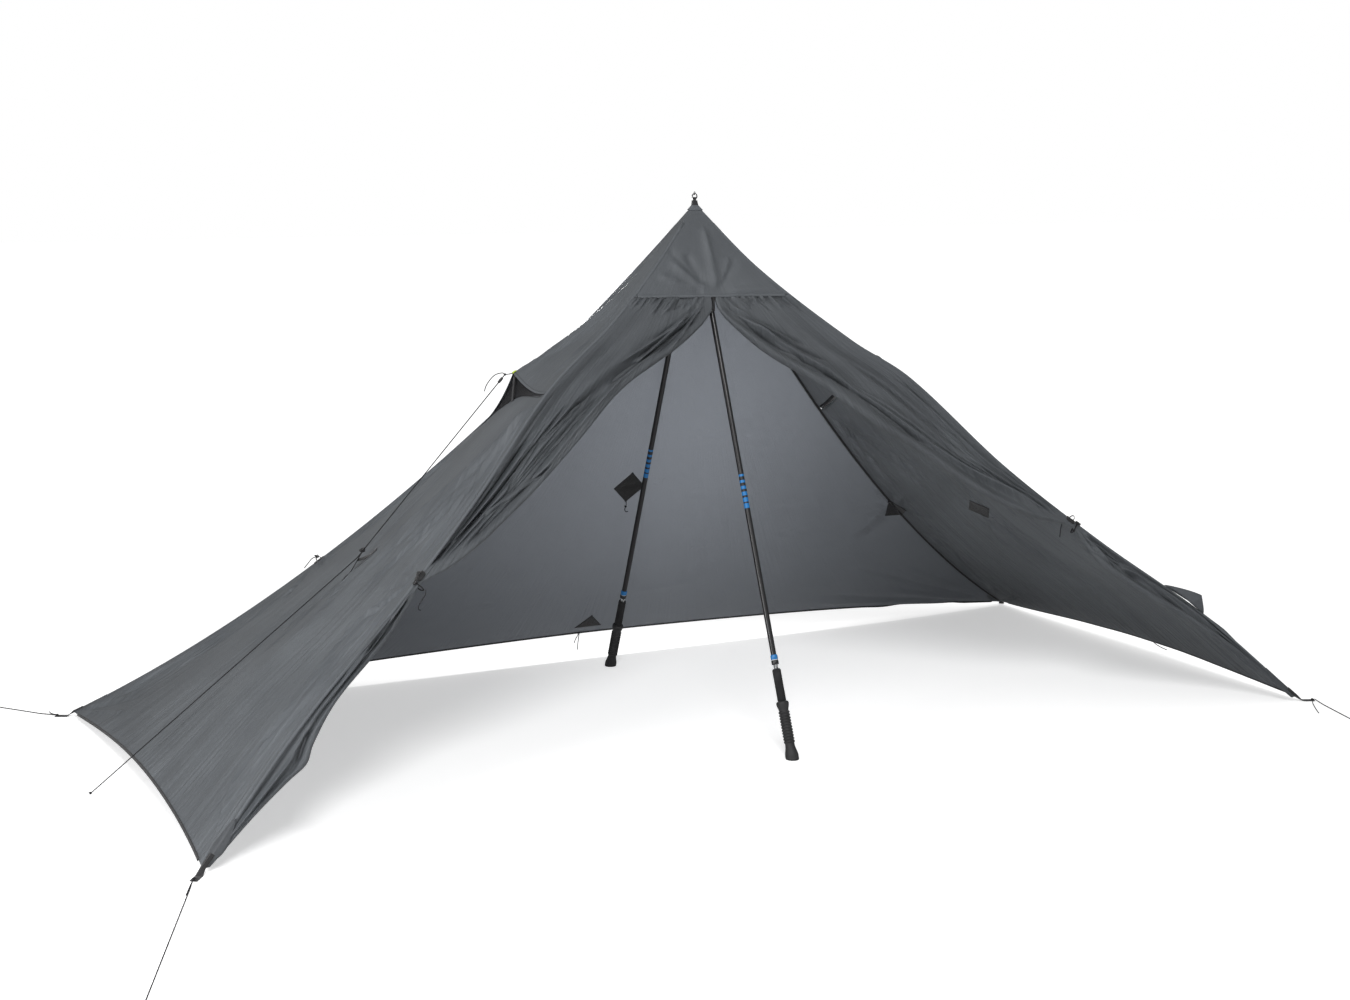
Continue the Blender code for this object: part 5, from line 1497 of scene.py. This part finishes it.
def turned(name, profile, look, body, placed=None, sides=36, bored=False):
    """Round piece drawn out along its profile of radii and heights; a bored one ends where it starts."""
    deselect()
    radius, height = profile[0]
    bpy.ops.mesh.primitive_circle_add(vertices=sides, radius=radius, fill_type="NOTHING" if bored else "NGON")
    obj = bpy.context.object
    obj.name = obj.data.name = name
    bpy.ops.object.mode_set(mode="EDIT")
    bpy.ops.mesh.select_mode(type="EDGE" if bored else "FACE")
    bpy.ops.mesh.select_all(action="SELECT")
    bpy.ops.transform.translate(value=(0, 0, height))
    for wide, high in profile[1:]:
        bpy.ops.mesh.extrude_region_move(TRANSFORM_OT_translate={"value": (0, 0, high - height)})
        bpy.ops.transform.resize(value=(wide / radius, wide / radius, 1), center_override=(0, 0, high))
        radius, height = wide, high
    bpy.ops.mesh.select_all(action="SELECT")
    bpy.ops.mesh.remove_doubles(threshold=SAME_POINT)
    end_edit()
    upright = np.empty(len(obj.data.vertices) * 3, np.float32)
    obj.data.vertices.foreach_get("co", upright)
    obj.data.attributes.new("pole_map", "FLOAT_VECTOR", "POINT").data.foreach_set("vector", upright)
    obj.data.materials.append(look)
    bpy.ops.object.shade_smooth_by_angle(angle=ROUND_ANGLE)
    if placed:
        obj.data.transform(placed)
    deselect()
    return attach(obj, body)


def aimed(place, way):
    """Matrix that stands an upright piece at a place along a direction."""
    return Matrix.Translation(place) @ UP.rotation_difference(way).to_matrix().to_4x4()


TOGGLE_PROFILE = [
    (0.0012, -0.0076), (0.0026, -0.0074), (0.0034, -0.0066), (0.0036, -0.0050), (0.0030, -0.0040),
    (0.0030, -0.0030), (0.0036, -0.0020), (0.0036, 0.0020), (0.0030, 0.0030), (0.0030, 0.0040),
    (0.0036, 0.0050), (0.0034, 0.0066), (0.0026, 0.0074), (0.0012, 0.0076)]


# Patches laid on the cloth

PROBE = 0.003
PROBE_FROM = 0.05
PATCH_LIFT = 0.0002
PATCH_STITCH = 0.86
PATCH_TIP = 0.03


def laid_points(tree, places, normal, lift):
    """Places moved onto a cloth along a normal, clear of its folds."""
    across = normal.orthogonal().normalized()
    other = normal.cross(across)
    found = []
    for place in places:
        tops = []
        for a, b in ((0, 0), (PROBE, 0), (-PROBE, 0), (0, PROBE), (0, -PROBE)):
            near = place + across * a + other * b
            hit = tree.ray_cast(near + normal * PROBE_FROM, -normal)[0]
            if hit:
                tops.append((hit - near).dot(normal))
        found.append(place + normal * (max(tops, default=0.0) + lift))
    return found


def laid_patch(name, tree, middle, across, upward, normal, outline, look=BLACK_WEBBING,
               thickness=WEBBING_THICKNESS, first=-1):
    """Patch on a cloth, outline(v) its half width at v from -1 to 1, and stitches inside its outline."""
    rows = []
    for v in spread(1, -1, 16):
        places = [middle + upward * v + across * (u * outline(v)) for u in spread(first, 1, 14)]
        rows.append(laid_points(tree, places, normal, thickness / 2 + PATCH_LIFT))
    patch = strip(name, rows, look, thickness)
    lines = []
    for edge in (first, 1):
        if edge:
            places = [middle + upward * (PATCH_STITCH * v) + across * (PATCH_STITCH * edge * outline(v))
                      for v in spread(1, -1, 16)]
            points = laid_points(tree, places, normal, thickness + PATCH_LIFT)
            lines.append((points, [normal] * len(points)))
    thread = BLACK_THREAD if look == BLACK_WEBBING else GREY_THREAD
    return [patch, stitches(name + "_stitches", lines, thread)]


def diamond(v):
    return max(1 - abs(v), PATCH_TIP)


def wedge(v):
    return max((1 - v) / 2, PATCH_TIP)


def half_round(v):
    return max(math.sqrt(max(1 - v * v, 0)), PATCH_TIP)


INNER_DIAMOND_SHARE = 0.023
INNER_DIAMOND = 0.040
INNER_OFF = 0.0010
INNER_GAP = 0.06
INNER_THICKNESS = 0.0010
MID_DIAMOND = 0.042
HALF_MOON = (0.026, 0.041)
MOON_AT = 0.017
CHORD_DOWN = 0.757
CHORD_BACK = 0.653
STRAP_RUN = 0.058
SIDE_STRAP_WIDTH = 0.0110
SIDE_STRAP_THICKNESS = 0.0014
SIDE_STRAP_LIFT = 0.0016
MOON_THICKNESS = 0.0005
SIDE_KNOT = 0.0062
TOGGLE_SIDES = 20
SIDE_KNOT_AT = 0.024
REAR_MIDDLE = -0.020
REAR_DIAMOND = 0.047
REAR_DIAMOND_HEIGHT = 0.4115 * PEAK_HEIGHT
HEM_PATCH = (0.042, 0.024)
HEM_PATCH_RISE = 0.0384

for side in (-1, 1):
    corner = (side, 1)
    label = corner_label(corner)
    rows = []
    for v in spread(-1, 1, 16):
        point, _, facets = fold(corner, REAR_TIE + INNER_DIAMOND_SHARE * v)
        row = []
        for (normal, inward), cloth in zip(facets, ("rear_cloth", SIDE_NAME[side] + "_side_cloth")):
            reach = spread(1, INNER_GAP, 7) if cloth == "rear_cloth" else spread(INNER_GAP, 1, 7)
            places = [point + inward * (INNER_DIAMOND * diamond(v) * share) for share in reach]
            row += laid_points(trees[cloth], places, -normal, INNER_OFF)
        rows.append(row)
    patch = strip(label + "_inner_diamond", rows, BLACK_WEBBING, INNER_THICKNESS)
    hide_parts(label + "_inner_patch")
    label = SIDE_NAME[side]
    cloth = label + "_side_cloth"
    surface = side_surface(side)
    middle = surface(SIDE_MID_TIE, 0)
    normal = outward(surface, SIDE_MID_TIE, 0)
    across = Vector((0, -1, 0))
    upward = normal.cross(across).normalized()
    if upward.z < 0:
        upward = -upward
    chord = across * -CHORD_BACK - upward * CHORD_DOWN
    deep = across * CHORD_DOWN - upward * CHORD_BACK
    moon = laid_patch(label + "_half_moon", trees[cloth], middle - chord * MOON_AT, deep * HALF_MOON[0],
                      chord * -HALF_MOON[1], normal, half_round, REINFORCEMENT, MOON_THICKNESS, first=0)
    line = guylines[label + "_vent_guyline"]
    beyond = (line[12] - line[11]).normalized()
    knot_place = line[11] + beyond * SIDE_KNOT_AT
    points = [middle - chord * (STRAP_RUN - k) for k in (0, 0.014, 0.028)]
    points = laid_points(trees[cloth], points, normal, SIDE_STRAP_LIFT)
    points += [middle - chord * 0.012 + normal * 0.0070, middle + normal * 0.0112,
               knot_place - beyond * 0.003]
    strap = strap_along(label + "_side_strap", rounded(points, 5), deep, SIDE_STRAP_WIDTH,
                        SIDE_STRAP_THICKNESS)
    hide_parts(label + "_side_tie_out")
    knot(label + "_line_knot", knot_place, SIDE_KNOT)
    turned(label + "_line_slider", TOGGLE_PROFILE, BLACK_PLASTIC, "canopy",
           aimed(knot_place + normal * 0.003, chord), TOGGLE_SIDES)
    inner = laid_patch(label + "_inner_diamond", trees[cloth], middle, across * MID_DIAMOND,
                       upward * MID_DIAMOND, -normal, diamond)
    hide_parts(label + "_side_inner_patch")
    sewn[cloth] += [patch, strap, *moon, *inner]

hem_patch_height = rear_surface(rear_hem(0), 0).z + HEM_PATCH_RISE
for name, node, height, size, outline in (
        ("rear_mid_diamond", "rear_mid_patch", REAR_DIAMOND_HEIGHT, (REAR_DIAMOND, REAR_DIAMOND), diamond),
        ("rear_hem_wedge", "rear_hem_patch", hem_patch_height, HEM_PATCH, wedge)):
    place, facing, _, _ = trees["rear_cloth"].ray_cast(Vector((REAR_MIDDLE, 0, height)), Vector((0, 1, 0)))
    upward = Vector((1, 0, 0)).cross(facing).normalized()
    if upward.z < 0:
        upward = -upward
    made = laid_patch(name, trees["rear_cloth"], place, Vector((size[0], 0, 0)), upward * size[1], facing,
                      outline)
    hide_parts(node)
    sewn["rear_cloth"] += made


# Door ties and zip

TIE_RADIUS = 0.0015
TIE_SLACK = 0.0042
TIE_LIFT = 0.0030
TOGGLE_LIFT = 0.0030
LINE_LOCK_AT = 0.018
DOOR_KNOT = 0.0036

for side in (-1, 1):
    label = SIDE_NAME[side]
    point, down, sides = fold((side, -1), DOOR_TIE)
    normal, inward = sides[0]
    width, radius = flap_size(side, DOOR_TIE)
    reach = width + TIE_SLACK
    low = -2 * radius - TIE_SLACK
    section = [(0.0, TIE_LIFT), (0.35 * width, 0.8 * TIE_LIFT), (0.8 * width, 0.93 * TIE_LIFT),
               (reach - 0.001, -TIE_LIFT / 6), (reach, -radius), (width, low + 0.001),
               (0.65 * width, low), (0.35 * width, low)]
    path = rounded([point + inward * u + normal * w for u, w in section], 5)
    tie = cord_curve(label + "_door_elastic", path, TIE_RADIUS)
    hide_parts(label + "_door_tie")
    seat = point + inward * 0.001 + normal * (TIE_LIFT + TOGGLE_LIFT)
    turned(label + "_door_toggle", TOGGLE_PROFILE, BLACK_PLASTIC, "canopy", aimed(seat, down), TOGGLE_SIDES)
    line = guylines[label + "_vent_guyline"]
    away = (line[1] - line[0]).normalized()
    turned(label + "_line_lock", TOGGLE_PROFILE, BLACK_PLASTIC, "canopy",
           aimed(line[0] + away * LINE_LOCK_AT, away), TOGGLE_SIDES)
    knot_place = point + inward * (width * 0.5) + normal * (low - 0.002) + down * 0.006
    knot(label + "_door_knot", knot_place, DOOR_KNOT)


ZIP_AT = 0.15574
ZIP_LIFT = 0.0011
ZIP_TILT = -math.atan2(HALF_DEPTH, PEAK_HEIGHT - CORNER_HEIGHT)
SLIDER_SIZE = (0.0078, 0.0034, 0.0115)
STOP_SIZE = (0.011, 0.0022, 0.0050)
zip_normal = outward(flat_of(FRONT), ZIP_AT, 0)
zip_top = facet_point(FRONT, ZIP_AT, 0) + zip_normal * ZIP_LIFT
dressed("zip_pull", "zip_pull_tab", BLACK_PLASTIC, "pull", 0.0004)


def zip_block(name, place, size, look, edge):
    """Block with rounded edges that lies along the zip."""
    deselect()
    bpy.ops.mesh.primitive_cube_add(size=1, location=place, rotation=(ZIP_TILT, 0, 0), scale=size)
    obj = bpy.context.object
    obj.name = obj.data.name = name
    bpy.ops.object.transform_apply(location=True, rotation=True, scale=True)
    start_edit()
    bpy.ops.mesh.bevel(offset=edge, segments=4, affect="EDGES")
    bpy.ops.object.mode_set(mode="OBJECT")
    bpy.ops.object.shade_smooth_by_angle(angle=EDGE_ANGLE)
    obj.data.materials.append(look)
    deselect()
    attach(obj, "canopy")


zip_block("zip_slider", zip_top - zip_normal * 0.0042, SLIDER_SIZE, BLACK_PLASTIC, 0.0009)
stop_place = facet_point(FRONT, DOOR_TOP + 0.0012, 0) - zip_normal * 0.0020
zip_block("zip_top_stop", stop_place, STOP_SIZE, BLACK_WEBBING, 0.0006)


# Turned corner of the right door half, which stands over its ridge

TURNED_FROM = 0.769
TURNED_TOP = 0.814
TURNED_END = 0.836
TURNED_HEIGHT = 0.034
TURNED_OFF = 0.0012


def turned_corner():
    rows, cuts = [], []
    start = fold((1, -1), TURNED_FROM)[0]
    for t in spread(TURNED_FROM, TURNED_END, 40):
        if t < TURNED_TOP:
            rise = (t - TURNED_FROM) / (TURNED_TOP - TURNED_FROM)
        else:
            rise = (TURNED_END - t) / (TURNED_END - TURNED_TOP)
        height = 0.001 + TURNED_HEIGHT * rise**0.8
        point, down, sides = fold((1, -1), t)
        out = (sides[0][0] + sides[1][0]).normalized()
        row, cut = [], []
        for u in spread(0, 1, 16):
            curl = 0.010 * math.sin(math.pi * u) + 0.004 * math.sin(7 * u + 60 * t)
            place = point + out * (TURNED_OFF + height * u) + sides[0][1] * (curl * rise)
            row.append(place + down * (0.006 * u * u * rise))
            cut.append((height * u, (point - start).length))
        rows.append(row)
        cuts.append(cut)
    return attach(placed_grid("right_door_turned_corner", rows, cuts, DOOR_PAINTED_SHADE_CLOTH), "canopy")


door_corner = turned_corner()


# Tails of the knots

TAIL_ABOVE = 0.0020
TAIL_INSIDE = 0.0024
REAR_KNOT = 0.0030
LINE_TAILS = {
    "front_left": ("loose", (-1.488, -0.714, 0.0032), (-1.500, -0.741, 0.0016), (-1.5094, -0.7637, 0.0014)),
    "rear_left": ("loose", (-1.494, 0.690, 0.0030), (-1.498, 0.708, 0.0018), (-1.497, 0.724, 0.0014)),
    "front_right": ("loose", (1.462, -0.700, 0.0032), (1.434, -0.739, 0.0016), (1.4097, -0.7754, 0.0014)),
    "left_vent": ("hanging", (-0.5228, 0, 0.8996), (-0.5403, 0, 0.8959), (-0.5541, 0, 0.8845),
                  (-0.5647, 0, 0.8700), (-0.5690, 0, 0.8572)),
    "right_vent": ("hanging", (0.5230, 0, 0.8960), (0.5481, 0, 0.8932), (0.5704, 0, 0.8763)),
}
SIDE_TAIL = ((0.9165, -0.010, 0.4350), (0.9315, -0.014, 0.4220), (0.9416, -0.015, 0.4110))
DOOR_TAILS = {
    "left": ((-0.8797, -0.4180, 0.4800), (-0.8830, -0.4230, 0.4700), (-0.8915, -0.4260, 0.4600),
             (-0.8986, -0.4260, 0.4500), (-0.9000, -0.4250, 0.4400), (-0.8950, -0.4240, 0.4370)),
    "right": ((0.8740, -0.3950, 0.4930), (0.8690, -0.3900, 0.4820), (0.8665, -0.3870, 0.4650),
              (0.8660, -0.3850, 0.4430)),
}
REAR_MIDDLE_TAIL = ((0, 0), (0.004, -0.014), (0.003, -0.026), (0.008, -0.034), (0.015, -0.034))


def bare_tail(name, points, lay="hanging"):
    """Loose end of a cord, from its knot to its melted tip."""
    path = rounded([Vector(p) for p in points], 5)
    tail = cord_curve(name, path, CORD_RADIUS * 0.9)
    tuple(path[0])
    length_of(path)


def on_cloth(tree, points):
    """Points kept just above a cloth that lies under them."""
    found = []
    for point in points:
        point = Vector(point)
        hit = tree.ray_cast(point + UP * 0.06, -UP)[0]
        if hit and point.z < hit.z + TAIL_ABOVE:
            point.z = hit.z + TAIL_ABOVE
        found.append(point)
    return found


def on_wall(places):
    """Points just inside the back cloth at each (x, z)."""
    found = []
    for x, z in places:
        hit = trees["rear_cloth"].ray_cast(Vector((x, 0, z)), Vector((0, 1, 0)))[0]
        found.append(hit - Vector((0, TAIL_INSIDE, 0)))
    return found


def stepped(start, *steps):
    """Places at each step from a start."""
    return [start + Vector(step) for step in steps]


for label, (lay, *places) in LINE_TAILS.items():
    bare_tail(label + "_tail", [guylines[label + "_guyline"][0], *places], lay)
for side in (-1, 1):
    label = SIDE_NAME[side]
    line = guylines[label + "_vent_guyline"]
    start = line[11] + (line[12] - line[11]).normalized() * (SIDE_KNOT_AT + 0.003)
    places = [start] + [(side * x, y, z) for x, y, z in SIDE_TAIL]
    bare_tail(label + "_side_tail", on_cloth(trees[label + "_side_cloth"], places))
for label, places in DOOR_TAILS.items():
    bare_tail(label + "_door_tail", places)
for side in (-1, 1):
    label = corner_label((side, 1))
    point, down, sides = fold((side, 1), REAR_TIE)
    out = (sides[0][0] + sides[1][0]).normalized()
    top = point + out * (ARCH_OFF + ARCH_HEIGHT)
    knot(label + "_tie_knot", top, SIDE_KNOT)
    bare_tail(label + "_tie_tail", [top, top + down * 0.014 + out * 0.003, top + down * 0.030 - out * 0.001,
                                    top + down * 0.044 - out * 0.005])
hem_middle = side_surface(1)(side_hem(-0.15), -0.15)
bare_tail("right_hem_tail", stepped(hem_middle, (0.006, 0, -0.001), (0.013, -0.009, -0.010),
                                    (0.023, -0.021, -0.018), (0.034, -0.032, -0.024)))
mid_low = REAR_DIAMOND_HEIGHT - 0.040
bare_tail("rear_mid_tail", on_wall([(REAR_MIDDLE + x, mid_low + z) for x, z in REAR_MIDDLE_TAIL]))
knot("rear_mid_knot", on_wall([(REAR_MIDDLE + 0.0035, mid_low - 0.018)])[0], REAR_KNOT)
hem_out = rear_surface(rear_hem(0), 0) + Vector((REAR_MIDDLE - 0.020, -0.001, 0.002))
bare_tail("rear_hem_tail", [hem_out, *stepped(hem_out, (-0.004, -0.003, -0.016), (-0.007, -0.004, -0.034),
                                              (-0.009, -0.005, -0.050))])
bare_tail("rear_hem_short_tail", [hem_out, *stepped(hem_out, (-0.007, -0.002, -0.010),
                                                    (-0.014, -0.003, -0.020), (-0.018, -0.003, -0.030))])
knot("rear_hem_knot", hem_out, REAR_KNOT)


# Trekking poles

POLE_FOOT = 0.7756 * HALF_DEPTH
POLE_PIVOT_Y = 0.012
CUP_BASE = PEAK_HEIGHT - 0.064
RIB_COUNT = 11
RIBS_START = 0.038
RIBS_END = 0.116
GRIP_RADIUS = 0.0115
RIB_RADIUS = 0.0137
FOAM_RADIUS = 0.0105
FOAM_START = 0.1403
FOAM_END = 0.218
TUBE_BORE = 0.0059
COLLAR_START = 0.228
COLLAR_END = 0.252
COLLAR_RADIUS = 0.0088
SHAFT_RADIUS = 0.0068
FERRULE_LENGTH = 0.120
TIP_RADIUS = 0.0040
PIECE_GAP = 0.0003

POMMEL = [(0.0100, -0.0080), (0.0136, -0.0078), (0.0149, -0.0050), (0.0158, -0.0010), (0.0161, 0.0040),
          (0.0161, 0.0090), (0.0157, 0.0130), (0.0147, 0.0175), (0.0135, 0.0220), (0.0124, 0.0270),
          (0.0117, 0.0320), (GRIP_RADIUS, 0.0360)]
RIB = [(0.08, 0.10), (0.22, 0.62), (0.36, 0.94), (0.50, 1.00), (0.64, 0.94), (0.78, 0.62), (0.92, 0.10)]
FLARE = [(GRIP_RADIUS, RIBS_END), (0.0121, 0.1200), (0.0134, 0.1245), (0.0147, 0.1285), (0.0152, 0.1320),
         (0.0151, 0.1355), (0.0142, 0.1378), (0.0122, 0.1392), (0.0100, 0.1398)]
FOAM = [(TUBE_BORE, FOAM_START), (0.0099, FOAM_START), (FOAM_RADIUS, 0.1412), (FOAM_RADIUS, 0.1600),
        (0.0103, 0.1800), (FOAM_RADIUS, 0.2000), (0.0104, 0.2135), (0.0098, 0.2162), (0.0088, FOAM_END),
        (TUBE_BORE, FOAM_END), (TUBE_BORE, FOAM_START)]
COLLAR = [(TUBE_BORE, COLLAR_START), (0.0078, COLLAR_START), (0.0085, 0.2288), (COLLAR_RADIUS, 0.2300),
          (COLLAR_RADIUS, 0.2376), (0.0085, 0.2384), (0.0079, 0.2388), (0.0079, 0.2394), (0.0084, 0.2399),
          (0.0086, 0.2406), (0.0086, 0.2500), (0.0083, 0.2512), (0.0077, COLLAR_END), (TUBE_BORE, COLLAR_END),
          (TUBE_BORE, COLLAR_START)]


def grip_profile():
    """Pommel, rounded ribs and flared top of the handle."""
    profile = list(POMMEL)
    pitch = (RIBS_END - RIBS_START) / RIB_COUNT
    for k in range(RIB_COUNT):
        for share, rise in RIB:
            radius = GRIP_RADIUS + (RIB_RADIUS - GRIP_RADIUS) * rise
            profile.append((radius, RIBS_START + pitch * (k + share)))
    return profile + FLARE


def stand_flat(obj):
    """Foot cut level with the ground where the leaning handle stands on it."""
    select_only(obj)
    start_edit()
    bpy.ops.mesh.bisect(plane_co=(0, 0, 0), plane_no=(0, 0, 1), use_fill=True, clear_inner=True)
    end_edit()
    bpy.ops.object.shade_smooth_by_angle(angle=ROUND_ANGLE)
    deselect()


for end in (-1, 1):
    label = END_NAME[end]
    foot = Vector((0, end * POLE_FOOT, 0))
    pivot = Vector((0, end * POLE_PIVOT_Y, CUP_BASE))
    length = (pivot - foot).length
    placed = aimed(foot, pivot - foot)
    ferrule = length - FERRULE_LENGTH
    neck = TIP_RADIUS * 0.72
    shaft = [(SHAFT_RADIUS, COLLAR_END + PIECE_GAP), (SHAFT_RADIUS, 0.60), (SHAFT_RADIUS, 0.72),
             (SHAFT_RADIUS, ferrule - PIECE_GAP)]
    tip = [(SHAFT_RADIUS, ferrule), (0.0075, ferrule + 0.0010), (0.0076, ferrule + 0.0020),
           (0.0076, ferrule + 0.0150), (0.0072, ferrule + 0.0165), (0.0062, ferrule + 0.0200),
           (neck * 1.3, length - 0.030), (neck, length - 0.010)]
    tip += [(TIP_RADIUS * math.cos(math.radians(a)), length + TIP_RADIUS * math.sin(math.radians(a)))
            for a in (-40, -20, 0, 20, 40, 60, 75)]
    grip = turned(label + "_handle", grip_profile(), BLACK_RUBBER, label + "_grip", placed)
    stand_flat(grip)
    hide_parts(label + "_pole_grip")
    foam = turned(label + "_foam_sleeve", FOAM, BLACK_FOAM, label + "_grip", placed, bored=True)
    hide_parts(label + "_pole_foam")
    collar = turned(label + "_lock_collar", COLLAR, COLLAR_FINISH, label + "_pole", placed, bored=True)
    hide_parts(label + "_pole_collar")
    tube = turned(label + "_shaft_tube", shaft, CARBON_TUBE, label + "_pole", placed)
    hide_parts(label + "_pole_shaft")
    turned(label + "_ferrule", tip, BLACK_PLASTIC, label + "_pole", placed)
    dressed(label + "_pole_tube", label + "_inner_tube", BRIGHT_METAL, label + "_pole", 0)
    dressed(label + "_pole_button", label + "_lock_button", BRIGHT_METAL, label + "_button", 0)


# Sheets

def cut_size(obj):
    """Width, length and area of the flat cut of a cloth."""
    flat = np.empty(len(obj.data.loops) * 2, np.float32)
    obj.data.uv_layers["cut"].data.foreach_get("uv", flat)
    corners = flat.reshape(-1, 4, 2)
    one, other = corners[:, 2] - corners[:, 0], corners[:, 3] - corners[:, 1]
    area = np.abs(one[:, 0] * other[:, 1] - one[:, 1] * other[:, 0]).sum() / 4
    width, length = np.ptp(flat.reshape(-1, 2), axis=0)
    return float(width), float(length), float(area)


def declare(obj):
    width, length, area = cut_size(obj)
    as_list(sewn.get(obj.name, []))


taut_cloths = [front_cloth, rear_cloth, *hood_cloth.values(), *side_cloth.values()]
for piece in (*taut_cloths, *door_cloth.values()):
    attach(piece, "canopy")
for piece in taut_cloths:
    declare(piece)
for side in (-1, 1):
    declare(door_cloth[side])
    declare(nets[side])
declare(door_corner)


# Floor, lights and background

FLOOR_WHITE = (0.80, 0.80, 0.80)
FLOOR_PALE = (0.82, 0.82, 0.82)
FLOOR_GLOW = 0.49
FLOOR_FAR_GLOW = 0.85
FLOOR_NEAR = 1.3
FLOOR_FAR = 3.4
FLOOR_BOUNCE = 0.06
SKY_STRENGTH = 0.40
bpy.ops.mesh.primitive_plane_add(size=60, location=(0, 0, 0))
floor = bpy.context.object
floor.name = "floor"


def bright_floor():
    """Matt white floor that glows a little, so that only a faint shadow stays under the cloth."""
    made, tree, shader = finish_material("bright_floor", FLOOR_WHITE, 0.9, specular=0.1)
    faint = tint(tree, noise(tree, object_place(tree), 3.0), FLOOR_WHITE, FLOOR_PALE)
    away = tree.nodes.new("ShaderNodeVectorMath")
    away.operation = "LENGTH"
    fill(tree, away, {0: object_place(tree)})
    glow = ranged(tree, away.outputs["Value"], FLOOR_GLOW, FLOOR_FAR_GLOW, FLOOR_NEAR, FLOOR_FAR)
    glow.interpolation_type = "SMOOTHSTEP"
    direct = tree.nodes.new("ShaderNodeLightPath")
    strength = ranged(tree, direct.outputs["Is Camera Ray"], FLOOR_BOUNCE, glow.outputs["Result"])
    fill(tree, shader, {"Base Color": faint, "Emission Color": (1, 1, 1, 1),
                        "Emission Strength": strength.outputs["Result"]})
    return made


floor.data.materials.append(bright_floor())
floor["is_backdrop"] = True


def soft_light(name, place, aim, size, power):
    light = bpy.data.lights.new(name, "AREA")
    light.shape = "DISK"
    light.size = size
    light.energy = power
    obj = linked(bpy.data.objects.new(name, light))
    obj.location = place
    obj.rotation_euler = (Vector(aim) - Vector(place)).to_track_quat("-Z", "Y").to_euler()
    obj.visible_camera = False


soft_light("key_light", (-2.0, -4.0, 4.6), (0, 0, 0.6), 2.0, 210)
soft_light("side_light", (-2.9, -1.2, 1.1), (-0.8, -0.1, 0.6), 0.7, 34)
soft_light("back_light", (0.15, 0.90, 1.05), (0.08, 0.2, 0.90), 0.4, 17)

world = bpy.data.worlds.new("studio")
world.use_nodes = True
sky = world.node_tree
path_kind = sky.nodes.new("ShaderNodeLightPath")
soft = fill(sky, sky.nodes["Background"], {"Color": (1, 1, 1, 1), "Strength": SKY_STRENGTH})
seen = new_node(sky, "Background", {"Color": (1, 1, 1, 1), "Strength": 1.0})
either = new_node(sky, "MixShader", {
    0: path_kind.outputs["Is Camera Ray"], 1: soft.outputs[0], 2: seen.outputs[0]})
fill(sky, sky.nodes["World Output"], {"Surface": either.outputs[0]})
bpy.context.scene.world = world
bpy.context.scene.view_settings.view_transform = "Standard"


low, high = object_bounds()
